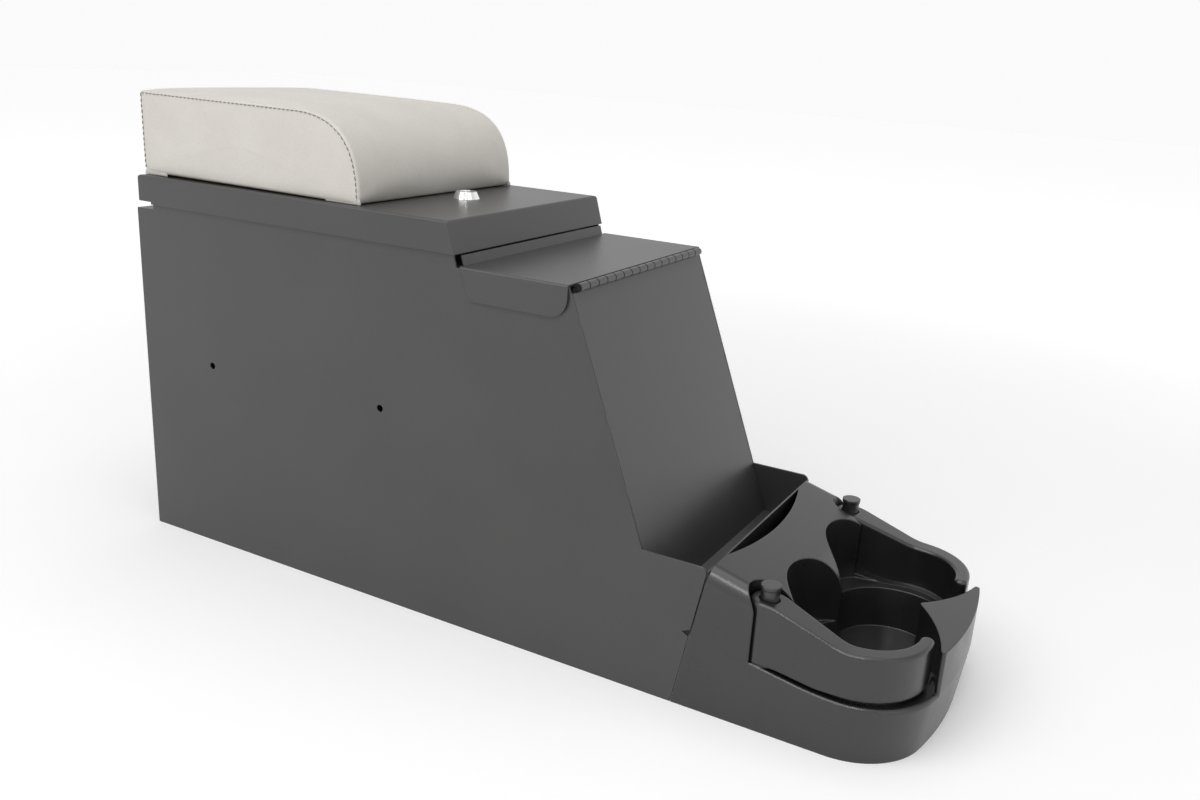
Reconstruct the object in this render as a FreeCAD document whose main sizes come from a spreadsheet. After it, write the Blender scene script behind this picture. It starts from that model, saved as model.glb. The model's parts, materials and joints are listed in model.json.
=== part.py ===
"""Lockable steel center console with an armrest lid, a front flap, a tray and a moulded cup holder.

Millimetres. +X runs forward to the cup holder, +Z is up, and the origin lies on the floor under the middle
of the console. Places along the console are measured from the rear edge of the side panels, and every
sub-part is then moved back by half the overall length.
"""
import FreeCAD, Part
import math
import os

import Sketcher
from FreeCAD import Placement, Rotation, Vector

SIZES = (
    ("body_width", 216.0, "outer width over the side panels"),
    ("sheet", 1.5, "steel sheet"),
    ("rest_gap", 0.3, "gap where a closed lid or flap rests"),
    ("flange_gap", 0.7, "gap between a side panel and a flange outside it"),
    ("rear_height", 295.5, "height of the rear panel"),
    ("rear_flange", 24.0, "folded top flange of the rear panel"),
    ("notch_length", 20.0, "hinge notch in the side panels and the lid"),
    ("lid_rise", 28.5, "lid top above the rear panel"),
    ("lid_setback", 5.5, "rear face of the lid from the rear edge"),
    ("lid_drop", 24.0, "depth of the lid's flanges"),
    ("lid_front_run", 7.2, "slope of the lid's front flange"),
    ("lid_bend", 2.4, "outside bend radius of the lid"),
    ("flap_step", 31.5, "flap top below the lid top"),
    ("flap_length", 91.4, "flap top from rear to front"),
    ("flap_lip_width", 207.0, "width of the flap's upturned flange"),
    ("flap_bend", 2.0, "outside bend radius of the flap"),
    ("tab_drop", 24.5, "depth of the flap's side tabs"),
    ("tab_rake", 10.0, "slope of the tabs' rear edge"),
    ("tab_radius", 14.0, "front corner of the tabs"),
    ("slant_run", 69.7, "forward run of the sloping front"),
    ("tray_top", 112.0, "height of the tray's side walls"),
    ("tray_depth", 40.0, "tray floor below the side walls"),
    ("tray_length", 52.0, "length of the tray's side walls"),
    ("tray_corner", 5.0, "rounded front corner of the tray walls"),
    ("tray_front_drop", 3.0, "tray front below the side walls"),
    ("seam_run", 20.0, "forward lean of the seam over the tray's height"),
    ("seam_gap", 0.6, "side panels behind the seam"),
    ("weld_gap", 0.7, "gap beside the sloping front, bridged by tack welds"),
    ("relief_height", 59.0, "height of the triangular relief in the seam"),
    ("relief_size", 6.0, "depth and height of the relief"),
    ("hole_setback", 82.0, "first mounting hole from the rear edge"),
    ("hole_spacing", 185.0, "distance between the mounting holes"),
    ("hole_height", 168.0, "height of the mounting holes"),
    ("hole_radius", 3.0, "mounting holes"),
    ("floor_height", 12.0, "top of the storage floor"),
    ("floor_stop", 30.0, "storage floor ends this far behind the seam"),
    ("leaf", 1.2, "hinge leaf thickness"),
    ("leaf_width", 16.0, "hinge leaf width"),
    ("barrel_radius", 3.0, "hinge barrel"),
    ("hinge_pin_radius", 1.3, "hinge pin"),
    ("pin_clearance", 0.05, "running clearance of every pin"),
    ("knuckle_pitch", 12.7, "one hinge knuckle and its gap"),
    ("knuckle_gap", 0.5, "gap between knuckles and round the barrel"),
    ("lid_knuckle_pitch", 10.5, "one knuckle of the lid hinge and its gap"),
    ("pad_length", 240.0, "armrest pad, from the lid's rear to its front"),
    ("pad_width", 206.0, "armrest pad, side to side"),
    ("pad_height", 70.5, "pad top above the lid"),
    ("pad_front_drop", 2.5, "fall of the pad's top towards the front"),
    ("pad_front_radius", 45.0, "rounded front of the pad"),
    ("pad_front_lean", 1.0, "lean of the pad's front face"),
    ("pad_edge", 6.0, "rounded side edges of the pad"),
    ("hem_gap", 1.7, "pad cover above the lid"),
    ("board", 12.0, "pad board thickness"),
    ("board_inset", 9.0, "pad board from the pad's sides"),
    ("board_gap", 0.3, "gap between the pad board and the cushion"),
    ("pad_screw_inset", 30.0, "pad screws from the board's corners"),
    ("pad_screw_radius", 2.0, "pad screw shank"),
    ("pad_screw_head", 4.2, "pad screw head radius"),
    ("pad_screw_head_height", 2.4, "pad screw head height"),
    ("pad_screw_grip", 9.0, "pad screw length in the board"),
    ("lock_gap", 23.5, "lock axis ahead of the pad"),
    ("lock_setback", 62.0, "lock axis behind the lid's front bend"),
    ("bezel_radius", 11.2, "lock bezel at the lid"),
    ("bezel_top_radius", 8.4, "lock bezel at its top"),
    ("bezel_height", 6.0, "lock bezel above the lid"),
    ("lock_radius", 7.4, "threaded lock barrel"),
    ("lock_depth", 21.0, "lock barrel below the lid's top"),
    ("plug_radius", 5.2, "lock plug"),
    ("plug_recess", 0.4, "plug below the bezel's top"),
    ("plug_stub", 0.5, "plug below the lock barrel"),
    ("keyway_length", 7.2, "key slot"),
    ("keyway_width", 1.6, "key slot width"),
    ("keyway_depth", 12.0, "key slot depth"),
    ("nut_radius", 13.0, "lock nut over its corners"),
    ("nut_height", 5.0, "lock nut"),
    ("cam_length", 38.0, "cam from the lock axis to its tip"),
    ("cam_width", 15.0, "cam width"),
    ("cam", 2.5, "cam thickness"),
    ("cam_screw_radius", 2.0, "cam screw shank"),
    ("cam_screw_head", 4.0, "cam screw head radius"),
    ("cam_screw_length", 8.0, "cam screw in the plug"),
    ("rail_gap", 1.0, "rail above the cam"),
    ("rail_reach", 40.0, "rail's rear edge behind the lid's front bend"),
    ("rail_setback", 5.0, "rail's web behind the lid's front bend"),
    ("rail_shelf", 24.0, "rail's shelf under the flap"),
    ("wall", 3.0, "wall of the cup moulding"),
    ("nose_reach", 161.5, "nose ahead of the seam's top"),
    ("nose_tuck", 5.0, "nose foot behind the nose lip"),
    ("nose_radius", 300.0, "plan radius of the nose"),
    ("nose_corner", 55.0, "plan radius of the front corners"),
    ("ledge_rear", 59.0, "ledge height at the seam"),
    ("ledge_front", 42.5, "ledge height at the nose"),
    ("ledge_run", 93.0, "sloping length of the ledge"),
    ("ledge_bend", 200.0, "radius where the ledge levels out"),
    ("lip_edge", 3.0, "rounded edge of the ledge"),
    ("bulkhead_rear", 111.0, "bulkhead height at the seam"),
    ("bulkhead_fall", 0.27, "slope of the bulkhead's top"),
    ("bulkhead_edge", 13.0, "rounded side edges of the bulkhead"),
    ("bulkhead_inset", 0.6, "bulkhead's sides inside the base"),
    ("tongue_reach", 67.0, "tongue ahead of the seam's top"),
    ("tongue_radius", 40.0, "roll of the tongue"),
    ("scallop_half", 78.0, "half width of the rear scallop"),
    ("scallop_depth", 11.0, "depth of the rear scallop"),
    ("scoop_radius", 48.0, "cup scoops in the bulkhead"),
    ("scoop_spread", 44.0, "scoop axes from the middle"),
    ("scoop_reach", 86.0, "scoop axes ahead of the seam's top"),
    ("deck_height", 44.0, "deck round the cup wells"),
    ("well_reach", 98.5, "cup well axes ahead of the seam's top"),
    ("well_spread", 33.0, "cup well axes from the middle"),
    ("well_radius", 46.4, "cup wells at the deck"),
    ("well_floor_radius", 39.6, "cup wells at their floor"),
    ("well_floor", 13.0, "height of the wells' floor"),
    ("pillar_top", 77.0, "nose pillar at its cusp"),
    ("pillar_fall", 0.08, "slope of the pillar's top"),
    ("hollow_reach", 37.0, "axes of the pillar's hollow sides ahead of the seam's top"),
    ("hollow_spread", 79.3, "axes of those sides from the middle"),
    ("hollow_radius", 117.5, "those hollow sides"),
    ("cusp_edge", 3.0, "rounded rear edge of the pillar"),
    ("pillar_edge", 2.0, "rounded side edges of the pillar"),
    ("pivot_reach", 41.0, "arm pivot ahead of the seam's top"),
    ("arm_side_gap", 1.5, "arm's outer face behind the moulding's side"),
    ("boss_radius", 13.0, "round end of the arm"),
    ("arm_gap", 2.0, "gap round the arm"),
    ("arm_thick", 16.0, "arm along its side"),
    ("arm_tip", 10.0, "arm at its tip"),
    ("arm_corner", 48.0, "outer corner of the arm"),
    ("arm_inner", 36.0, "inner corner of the arm"),
    ("arm_corner_reach", 58.0, "arm's corner ahead of its pivot"),
    ("arm_top_rear", 96.5, "arm's top at the pivot"),
    ("arm_top_front", 79.0, "arm's top at its tip"),
    ("arm_flat", 5.0, "level top ahead of the pivot"),
    ("arm_slope_run", 52.0, "sloping top of the arm"),
    ("arm_bend", 45.0, "radius where the arm's top changes slope"),
    ("arm_lift", 4.0, "arm above the ledge"),
    ("arm_foot_run", 28.0, "sloping underside of the arm"),
    ("arm_edge", 2.5, "rounded edges of the arm"),
    ("seat_height", 50.5, "flat seat under the arm's boss"),
    ("seat_radius", 12.5, "that seat"),
    ("stem_radius", 5.4, "pivot pin"),
    ("spigot_radius", 4.0, "pivot pin's foot"),
    ("spigot_length", 12.0, "pivot pin's foot in the moulding"),
    ("counterbore_radius", 7.4, "counterbore in the arm"),
    ("counterbore_depth", 4.0, "depth of that counterbore"),
    ("neck_radius", 6.6, "pivot pin above its shoulder"),
    ("knob_radius", 7.2, "head of the pivot pin"),
    ("knob_height", 2.6, "thickness of that head"),
    ("knob_rise", 10.0, "top of the head above the arm"),
    ("mould_screw_radius", 2.0, "cup holder screw shank"),
    ("mould_screw_head", 4.5, "cup holder screw head radius"),
    ("mould_screw_head_height", 2.2, "cup holder screw head height"),
    ("mould_screw_length", 14.0, "cup holder screw length"),
    ("mould_screw_spread", 92.0, "cup holder screws from the middle"),
    ("mould_screw_height", 90.0, "height of the cup holder screws"),
    ("screw_boss", 5.0, "boss round a cup holder screw"),
    ("bore_spare", 1.0, "spare depth below a pin or screw in the moulding"),
)
KNUCKLES = 16
ABOVE = 20.0
WIDE = 400.0

doc = FreeCAD.newDocument("center_console")
sheet = doc.addObject("Spreadsheet::Sheet", "dim")
for row, (alias, value, words) in enumerate(SIZES, start=1):
    sheet.set(f"A{row}", words)
    sheet.set(f"B{row}", str(value))
    sheet.setAlias(f"B{row}", alias)
doc.recompute()

# Places worked out from the driving dimensions, as expressions
HALF = "(dim.body_width / 2)"
INNER = "(dim.body_width / 2 - dim.sheet)"
LID_TOP = "(dim.rear_height + dim.lid_rise)"
LID_UNDER = f"({LID_TOP} - dim.sheet)"
LID_LOW = f"({LID_TOP} - dim.lid_drop)"
LOCK = "(dim.lid_setback + dim.pad_length + dim.lock_gap)"
LID_FRONT = f"({LOCK} + dim.lock_setback)"
LID_SLOPE = "(dim.lid_front_run / dim.lid_drop)"
LID_SLANT_SHEET = f"(dim.sheet * sqrt(1 + {LID_SLOPE} * {LID_SLOPE}))"
FLAP_TOP = f"({LID_TOP} - dim.flap_step)"
FLAP_UNDER = f"({FLAP_TOP} - dim.sheet)"
FLAP_REAR = f"({LID_FRONT} + {LID_SLOPE} * dim.flap_step + dim.flange_gap + {LID_SLANT_SHEET})"
FLAP_FRONT = f"({FLAP_REAR} + dim.flap_length)"
OUTER_WIDTH = "(dim.body_width + 2 * (dim.flange_gap + dim.sheet))"
SLANT_TOP = f"({FLAP_UNDER} - dim.rest_gap)"
SLANT_FOOT = f"({FLAP_FRONT} + dim.slant_run)"
SLANT_SLOPE = f"(dim.slant_run / ({SLANT_TOP} - dim.tray_top))"
SLANT_SHEET = f"(dim.sheet * sqrt(1 + {SLANT_SLOPE} * {SLANT_SLOPE}))"
TRAY_FLOOR = "(dim.tray_top - dim.tray_depth)"
SEAM_TOP = f"({SLANT_FOOT} + dim.tray_length)"
SEAM_SLOPE = "(dim.seam_run / dim.tray_top)"
SEAM_SHEET = f"(dim.sheet * sqrt(1 + {SEAM_SLOPE} * {SEAM_SLOPE}))"
SEAM_ACROSS = f"(1 / sqrt(1 + {SEAM_SLOPE} * {SEAM_SLOPE}))"
NOSE = f"({SEAM_TOP} + dim.nose_reach)"
ORIGIN = f"({NOSE} / 2)"
HINGE_GAP = "(dim.barrel_radius + dim.rest_gap)"
LID_AXIS = "(dim.lid_setback + dim.sheet + dim.leaf - dim.barrel_radius)"
LID_AXIS_UP = f"(dim.rear_height + {HINGE_GAP})"
LID_REAR_LOW = f"({LID_AXIS_UP} + {HINGE_GAP})"
FLAP_AXIS = f"({FLAP_FRONT} + {HINGE_GAP})"
FLAP_AXIS_UP = f"({FLAP_UNDER} - dim.leaf)"
LOCK_FOOT = f"({LID_TOP} - dim.lock_depth)"
PLUG_FOOT = f"({LOCK_FOOT} - dim.plug_stub)"
CAM_FOOT = f"({PLUG_FOOT} - dim.cam)"
PAD_BOARD_TOP = f"({LID_TOP} + dim.board)"
PIVOT = f"({SEAM_TOP} + dim.pivot_reach)"
PIVOT_SIDE = f"({HALF} - dim.arm_side_gap - dim.boss_radius)"


def seam(height):
    """Forward place of the leaning seam at a height."""
    return f"({SEAM_TOP} - {SEAM_SLOPE} * (dim.tray_top - ({height})))"


def slant(height):
    """Forward place of the sloping front's outer face at a height."""
    return f"({SLANT_FOOT} + {SLANT_SLOPE} * (dim.tray_top - ({height})))"


def lid_face(height):
    """Forward place of the lid's front flange, outer face, at a height."""
    return f"({LID_FRONT} + {LID_SLOPE} * ({LID_TOP} - ({height})))"


def measure(text):
    """Value of an expression, in millimetres."""
    value = sheet.evalExpression(text)
    return float(getattr(value, "Value", value))


def size(alias):
    """Value of one driving dimension."""
    return measure(f"dim.{alias}")


subparts = []


def seat(item, label, along="0", across="0", up="0"):
    """Name a sub-part and place it, with the origin under the middle of the console."""
    item.Label = label
    item.setExpression("Placement.Base.x", f"{along} - {ORIGIN}")
    item.setExpression("Placement.Base.y", across)
    item.setExpression("Placement.Base.z", up)
    subparts.append(item)
    return item


def solid(label, shape):
    """Sub-part with a shape worked out from the sheet's values."""
    item = doc.addObject("Part::Feature", label)
    item.Shape = shape
    item.Placement = Placement(Vector(-measure(ORIGIN), 0, 0), Rotation())
    item.Label = label
    subparts.append(item)
    return item


def box(name, low, span):
    """Block from its low corner and its three lengths, all expressions."""
    item = doc.addObject("Part::Box", name)
    for side, text in zip(("Length", "Width", "Height"), span):
        item.setExpression(side, text)
    for axis, text in zip("xyz", low):
        item.setExpression(f"Placement.Base.{axis}", text)
    return item


def rod(name, radius, length, foot, turn=Rotation()):
    """Cylinder from its foot, upright unless it is turned."""
    item = doc.addObject("Part::Cylinder", name)
    item.Placement = Placement(Vector(), turn)
    item.setExpression("Radius", radius)
    item.setExpression("Height", length)
    for axis, text in zip("xyz", foot):
        item.setExpression(f"Placement.Base.{axis}", text)
    return item


def square_to_seam(item):
    """Turn an upright item to point forward, square to the leaning seam."""
    item.Placement = Placement(item.Placement.Base, Rotation(Vector(0, 1, 0), 90))
    item.setExpression("Placement.Rotation.Angle", f"90 deg + atan({SEAM_SLOPE})")
    return item


def fuse(name, items):
    """Several solids as one."""
    item = doc.addObject("Part::MultiFuse", name)
    item.Shapes = items
    item.Refine = True
    return item


def cut(name, base, tools):
    """A solid less one or several others."""
    item = doc.addObject("Part::Cut", name)
    item.Base = base
    item.Tool = tools[0] if len(tools) == 1 else fuse(f"{name}_tools", tools)
    return item


def plane(body, role):
    """One of a body's own origin planes."""
    return next(feature for feature in body.Origin.OriginFeatures if feature.Role == role)


def outline(body, role, corners, offset="0"):
    """Closed polygon sketch whose corners are pairs of expressions."""
    sketch = body.newObject("Sketcher::SketchObject", f"{body.Name}_outline")
    sketch.AttachmentSupport = [(plane(body, role), "")]
    sketch.MapMode = "FlatFace"
    sketch.setExpression("AttachmentOffset.Base.z", offset)
    places = [Vector(measure(across), measure(up), 0) for across, up in corners]
    count = len(places)
    for i in range(count):
        sketch.addGeometry(Part.LineSegment(places[i], places[(i + 1) % count]), False)
    for i in range(count):
        sketch.addConstraint(Sketcher.Constraint("Coincident", i, 2, (i + 1) % count, 1))
    for i, pair in enumerate(corners):
        for kind, text in zip(("DistanceX", "DistanceY"), pair):
            index = sketch.addConstraint(Sketcher.Constraint(kind, i, 1, measure(text)))
            sketch.setExpression(f"Constraints[{index}]", text)
    return sketch


def feature(body, kind, sketch, length):
    """Pad or pocket of a sketch, half of it to each side of the sketch."""
    step = body.newObject(f"PartDesign::{kind}", f"{body.Name}_{kind.lower()}")
    step.Profile = sketch
    step.setExpression("Length", length)
    step.SideType = "Symmetric"
    doc.recompute()
    return step


def round_edges(body, base, radius, chosen):
    """Fillet of the edges for which chosen(edge) is true."""
    step = body.newObject("PartDesign::Fillet", f"{body.Name}_fillet")
    names = [f"Edge{i}" for i, edge in enumerate(base.Shape.Edges, start=1) if chosen(edge)]
    step.Base = (base, names)
    step.setExpression("Radius", radius)
    doc.recompute()
    return step


def at_corner(along, up):
    """Test for an edge that runs across the console through one corner of its side view."""
    place = Vector(measure(along), 0, measure(up))

    def test(edge):
        ends = [vertex.Point for vertex in edge.Vertexes]
        return all(math.hypot(end.x - place.x, end.z - place.z) < 0.01 for end in ends)

    return test


def new_body(name):
    """Empty body."""
    return doc.addObject("PartDesign::Body", name)


def turned(name, profile):
    """Body turned round an upright axis from pairs of radius and height."""
    body = new_body(name)
    sketch = outline(body, "XZ_Plane", profile)
    step = body.newObject("PartDesign::Revolution", f"{name}_turn")
    step.Profile = sketch
    step.ReferenceAxis = (sketch, ["V_Axis"])
    step.Angle = 360
    doc.recompute()
    return body


def drill(body, role, middle, radius, length):
    """Round hole through a body, square to one of its origin planes."""
    sketch = body.newObject("Sketcher::SketchObject", f"{body.Name}_hole")
    sketch.AttachmentSupport = [(plane(body, role), "")]
    sketch.MapMode = "FlatFace"
    sketch.addGeometry(Part.Circle(Vector(*map(measure, middle), 0), Vector(0, 0, 1), measure(radius)), False)
    for kind, text in zip(("DistanceX", "DistanceY"), middle):
        index = sketch.addConstraint(Sketcher.Constraint(kind, 0, 3, measure(text)))
        sketch.setExpression(f"Constraints[{index}]", text)
    index = sketch.addConstraint(Sketcher.Constraint("Radius", 0, measure(radius)))
    sketch.setExpression(f"Constraints[{index}]", radius)
    return feature(body, "Pocket", sketch, length)


def side_panel(label, side):
    """Flat side of the box: hinge notch, lid step, sloping front, tray wall and leaning front edge."""
    body = new_body(label)
    low = "(dim.relief_height - dim.relief_size / 2)"
    high = "(dim.relief_height + dim.relief_size / 2)"
    lid_rest = f"({LID_UNDER} - dim.rest_gap)"

    def step(height):
        return f"({lid_face(height)} - {LID_SLANT_SHEET} - dim.flange_gap)"

    def edge(height):
        return f"({seam(height)} - dim.seam_gap)"

    corners = [
        ("0", "0"),
        (edge("0"), "0"),
        (edge(low), low),
        (f"({edge('dim.relief_height')} - dim.relief_size)", "dim.relief_height"),
        (edge(high), high),
        (edge("dim.tray_top"), "dim.tray_top"),
        (SLANT_FOOT, "dim.tray_top"),
        (FLAP_FRONT, SLANT_TOP),
        (step(SLANT_TOP), SLANT_TOP),
        (step(lid_rest), lid_rest),
        ("dim.notch_length", lid_rest),
        ("dim.notch_length", "dim.rear_height"),
        ("0", "dim.rear_height"),
    ]
    middle = f"{-side} * ({HALF} - dim.sheet / 2)"
    pad = feature(body, "Pad", outline(body, "XZ_Plane", corners, middle), "dim.sheet")
    round_edges(body, pad, "dim.tray_corner", at_corner(edge("dim.tray_top"), "dim.tray_top"))
    for place in ("dim.hole_setback", "(dim.hole_setback + dim.hole_spacing)"):
        drill(body, "XZ_Plane", (place, "dim.hole_height"), "dim.hole_radius", "2 * dim.body_width")
    return seat(body, label)


def rear_panel():
    """Steel back with its top folded inwards."""
    outer = box("rear_block", ("0", f"-{INNER}", "0"), ("dim.rear_flange", f"2 * {INNER}", "dim.rear_height"))
    inner = box("rear_hollow", ("dim.sheet", f"-{HALF}", "-dim.sheet"),
                ("dim.rear_flange", "dim.body_width", "dim.rear_height"))
    return seat(cut("rear_fold", outer, [inner]), "rear_panel")


def front_panel():
    """One folded sheet: sloping front, tray floor and leaning tray front."""
    body = new_body("front_fold")
    top = f"({FLAP_AXIS_UP} - {HINGE_GAP} - dim.rest_gap)"
    floor_low = f"({TRAY_FLOOR} - dim.sheet)"
    front_top = "(dim.tray_top - dim.tray_front_drop)"
    corners = [
        (slant(top), top),
        (slant(TRAY_FLOOR), TRAY_FLOOR),
        (f"({seam(TRAY_FLOOR)} - {SEAM_SHEET})", TRAY_FLOOR),
        (f"({seam(front_top)} - {SEAM_SHEET})", front_top),
        (seam(front_top), front_top),
        (seam(floor_low), floor_low),
        (f"({slant(floor_low)} - {SLANT_SHEET})", floor_low),
        (f"({slant(top)} - {SLANT_SHEET})", top),
    ]
    feature(body, "Pad", outline(body, "XZ_Plane", corners), f"2 * ({INNER} - dim.weld_gap)")
    holes = []
    for side in (-1, 1):
        foot = (f"({seam('dim.mould_screw_height')} - dim.mould_screw_length * {SEAM_ACROSS})",
                f"{side} * dim.mould_screw_spread",
                f"(dim.mould_screw_height + dim.mould_screw_length * {SEAM_SLOPE} * {SEAM_ACROSS})")
        loose = "(dim.mould_screw_radius + dim.rest_gap)"
        hole = rod("front_hole", loose, "2 * dim.mould_screw_length", foot)
        holes.append(square_to_seam(hole))
    return seat(cut("front_drilled", body, holes), "front_panel")


def floor_panel():
    """Storage floor, folded down all round."""
    length = f"({seam('0')} - dim.floor_stop)"
    outer = box("floor_block", ("dim.sheet", f"-{INNER}", "0"), (length, f"2 * {INNER}", "dim.floor_height"))
    inner = box("floor_hollow", ("2 * dim.sheet", f"dim.sheet - {INNER}", "-dim.sheet"),
                (f"{length} - 2 * dim.sheet", f"2 * ({INNER} - dim.sheet)", "dim.floor_height"))
    return seat(cut("floor_fold", outer, [inner]), "floor_panel")


def latch_rail():
    """Folded cross rail: a lip over the lock's cam, a web, and a shelf under the flap."""
    body = new_body("latch_rail")
    lip = f"({PLUG_FOOT} + dim.rail_gap)"
    rear = f"({LID_FRONT} - dim.rail_reach)"
    web = f"({LID_FRONT} - dim.rail_setback)"
    corners = [
        (rear, lip),
        (web, lip),
        (web, f"({SLANT_TOP} - dim.sheet)"),
        (f"({web} + dim.rail_shelf)", f"({SLANT_TOP} - dim.sheet)"),
        (f"({web} + dim.rail_shelf)", SLANT_TOP),
        (f"({web} + dim.sheet)", SLANT_TOP),
        (f"({web} + dim.sheet)", f"({lip} + dim.sheet)"),
        (rear, f"({lip} + dim.sheet)"),
    ]
    feature(body, "Pad", outline(body, "XZ_Plane", corners), f"2 * {INNER}")
    return seat(body, "latch_rail")


def pad_screw_places():
    """Middles of the four pad screws, as expressions."""
    edge = "(dim.board_inset + dim.pad_screw_inset)"
    rows = (f"(dim.lid_setback + {edge})",
            f"(dim.lid_setback + dim.pad_length - dim.pad_front_radius - {edge})")
    across = f"(dim.pad_width / 2 - {edge})"
    return [(along, f"{side} * {across}") for along in rows for side in (-1, 1)]


def lid():
    """Folded pan with a sloping front flange, notched at its rear corners for the hinge."""
    body = new_body("lid")
    below = f"({LID_LOW} - dim.lid_drop)"
    rear = "(dim.lid_setback + dim.sheet)"
    corners = [
        ("dim.lid_setback", LID_REAR_LOW),
        ("dim.lid_setback", LID_TOP),
        (LID_FRONT, LID_TOP),
        (lid_face(LID_LOW), LID_LOW),
        ("dim.notch_length", LID_LOW),
        ("dim.notch_length", LID_REAR_LOW),
    ]
    pad = feature(body, "Pad", outline(body, "XZ_Plane", corners), OUTER_WIDTH)
    top = measure(LID_TOP)

    def on_top(edge):
        return all(abs(vertex.Point.z - top) < 0.01 for vertex in edge.Vertexes)

    round_edges(body, pad, "dim.lid_bend", on_top)
    hollow = [
        (rear, below),
        (rear, LID_UNDER),
        (f"({lid_face(LID_UNDER)} - {LID_SLANT_SHEET})", LID_UNDER),
        (f"({lid_face(below)} - {LID_SLANT_SHEET})", below),
    ]
    feature(body, "Pocket", outline(body, "XZ_Plane", hollow), f"{OUTER_WIDTH} - 2 * dim.sheet")
    drill(body, "XY_Plane", (LOCK, "0"), "(dim.lock_radius + dim.pin_clearance)", f"3 * {LID_TOP}")
    for place in pad_screw_places():
        drill(body, "XY_Plane", place, "(dim.pad_screw_radius + dim.rest_gap)", f"3 * {LID_TOP}")
    return seat(body, "lid")


def front_flap():
    """Folded flap: flat top, rounded side tabs and an upturned rear flange below the lid's edge."""
    body = new_body("front_flap")
    low = f"({FLAP_TOP} - dim.tab_drop)"
    corners = [
        (FLAP_REAR, FLAP_TOP),
        (FLAP_FRONT, FLAP_TOP),
        (FLAP_FRONT, low),
        (f"({FLAP_REAR} + dim.tab_rake)", low),
    ]
    pad = feature(body, "Pad", outline(body, "XZ_Plane", corners), OUTER_WIDTH)
    top = measure(FLAP_TOP)

    def side_bend(edge):
        ends = [vertex.Point for vertex in edge.Vertexes]
        level = all(abs(end.z - top) < 0.01 for end in ends)
        return level and abs(ends[0].y - ends[1].y) < 0.01

    bent = round_edges(body, pad, "dim.flap_bend", side_bend)
    round_edges(body, bent, "dim.tab_radius", at_corner(FLAP_FRONT, low))
    hollow = [
        (f"({FLAP_REAR} - dim.tab_drop)", FLAP_UNDER),
        (f"({FLAP_FRONT} + dim.tab_drop)", FLAP_UNDER),
        (f"({FLAP_FRONT} + dim.tab_drop)", f"({low} - dim.tab_drop)"),
        (f"({FLAP_REAR} - dim.tab_drop)", f"({low} - dim.tab_drop)"),
    ]
    feature(body, "Pocket", outline(body, "XZ_Plane", hollow), f"{OUTER_WIDTH} - 2 * dim.sheet")
    lip = f"({LID_LOW} - dim.flange_gap)"
    flange = [
        (f"({lid_face(FLAP_UNDER)} + dim.flange_gap)", FLAP_UNDER),
        (f"({lid_face(FLAP_UNDER)} + dim.flange_gap + 2 * {LID_SLANT_SHEET})", FLAP_UNDER),
        (f"({lid_face(FLAP_TOP)} + dim.flange_gap + {LID_SLANT_SHEET})", FLAP_TOP),
        (f"({lid_face(lip)} + dim.flange_gap + {LID_SLANT_SHEET})", lip),
        (f"({lid_face(lip)} + dim.flange_gap)", lip),
    ]
    feature(body, "Pad", outline(body, "XZ_Plane", flange), "dim.flap_lip_width")
    return seat(body, "front_flap")


def knuckle_row(name, axis, pitch, own):
    """Barrel pieces of one leaf, every second knuckle, and the tools that bore and clear them."""
    along, up = axis
    start = f"(-{KNUCKLES} / 2 * {pitch} + dim.knuckle_gap / 2)"
    across = Rotation(Vector(1, 0, 0), -90)
    knuckles = []
    clears = []
    for i in range(KNUCKLES):
        foot = (along, f"({start} + {i} * {pitch})", up)
        if i % 2 == own:
            long = f"{pitch} - dim.knuckle_gap"
            knuckles.append(rod(f"{name}_knuckle", "dim.barrel_radius", long, foot, across))
        else:
            wide = (along, f"({start} + {i} * {pitch} - dim.knuckle_gap)", up)
            clears.append(rod(f"{name}_clear", "(dim.barrel_radius + dim.knuckle_gap)",
                              f"{pitch} + dim.knuckle_gap", wide, across))
    bore = rod(f"{name}_bore", "(dim.hinge_pin_radius + dim.pin_clearance)", f"{KNUCKLES} * {pitch}",
               (along, f"(-{KNUCKLES} / 2 * {pitch})", up), across)
    return knuckles, clears, bore


def hinge_leaf(label, plate, axis, pitch, own):
    """Leaf of a piano hinge: a plate cut clear of the other leaf's knuckles, and its own bored knuckles."""
    knuckles, clears, bore = knuckle_row(label, axis, pitch, own)
    return seat(cut(f"{label}_cut", fuse(f"{label}_blank", [plate] + knuckles), clears + [bore]), label)


def hinge_pin(label, axis, pitch):
    """Plain pin through the whole barrel."""
    along, up = axis
    pin = rod(label, "dim.hinge_pin_radius", f"{KNUCKLES} * {pitch} - dim.knuckle_gap", ("0", "0", "0"),
              Rotation(Vector(1, 0, 0), -90))
    return seat(pin, label, along, f"(dim.knuckle_gap / 2 - {KNUCKLES} / 2 * {pitch})", up)


def lid_hinge():
    """Rear hinge in the slot between the lid and the rear panel."""
    axis = (LID_AXIS, LID_AXIS_UP)
    pitch = "dim.lid_knuckle_pitch"
    length = f"({KNUCKLES} * {pitch} - dim.knuckle_gap)"
    low = f"(-{length} / 2)"
    flat = box("lid_hinge_flat", (LID_AXIS, low, "dim.rear_height"), ("dim.leaf_width", length, "dim.leaf"))
    upright = box("lid_hinge_upright", ("(dim.lid_setback + dim.sheet)", low, LID_AXIS_UP),
                  ("dim.leaf", length, "dim.leaf_width"))
    hinge_leaf("lid_hinge_body_leaf", flat, axis, pitch, 0)
    hinge_leaf("lid_hinge_lid_leaf", upright, axis, pitch, 1)
    hinge_pin("lid_hinge_pin", axis, pitch)


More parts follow.
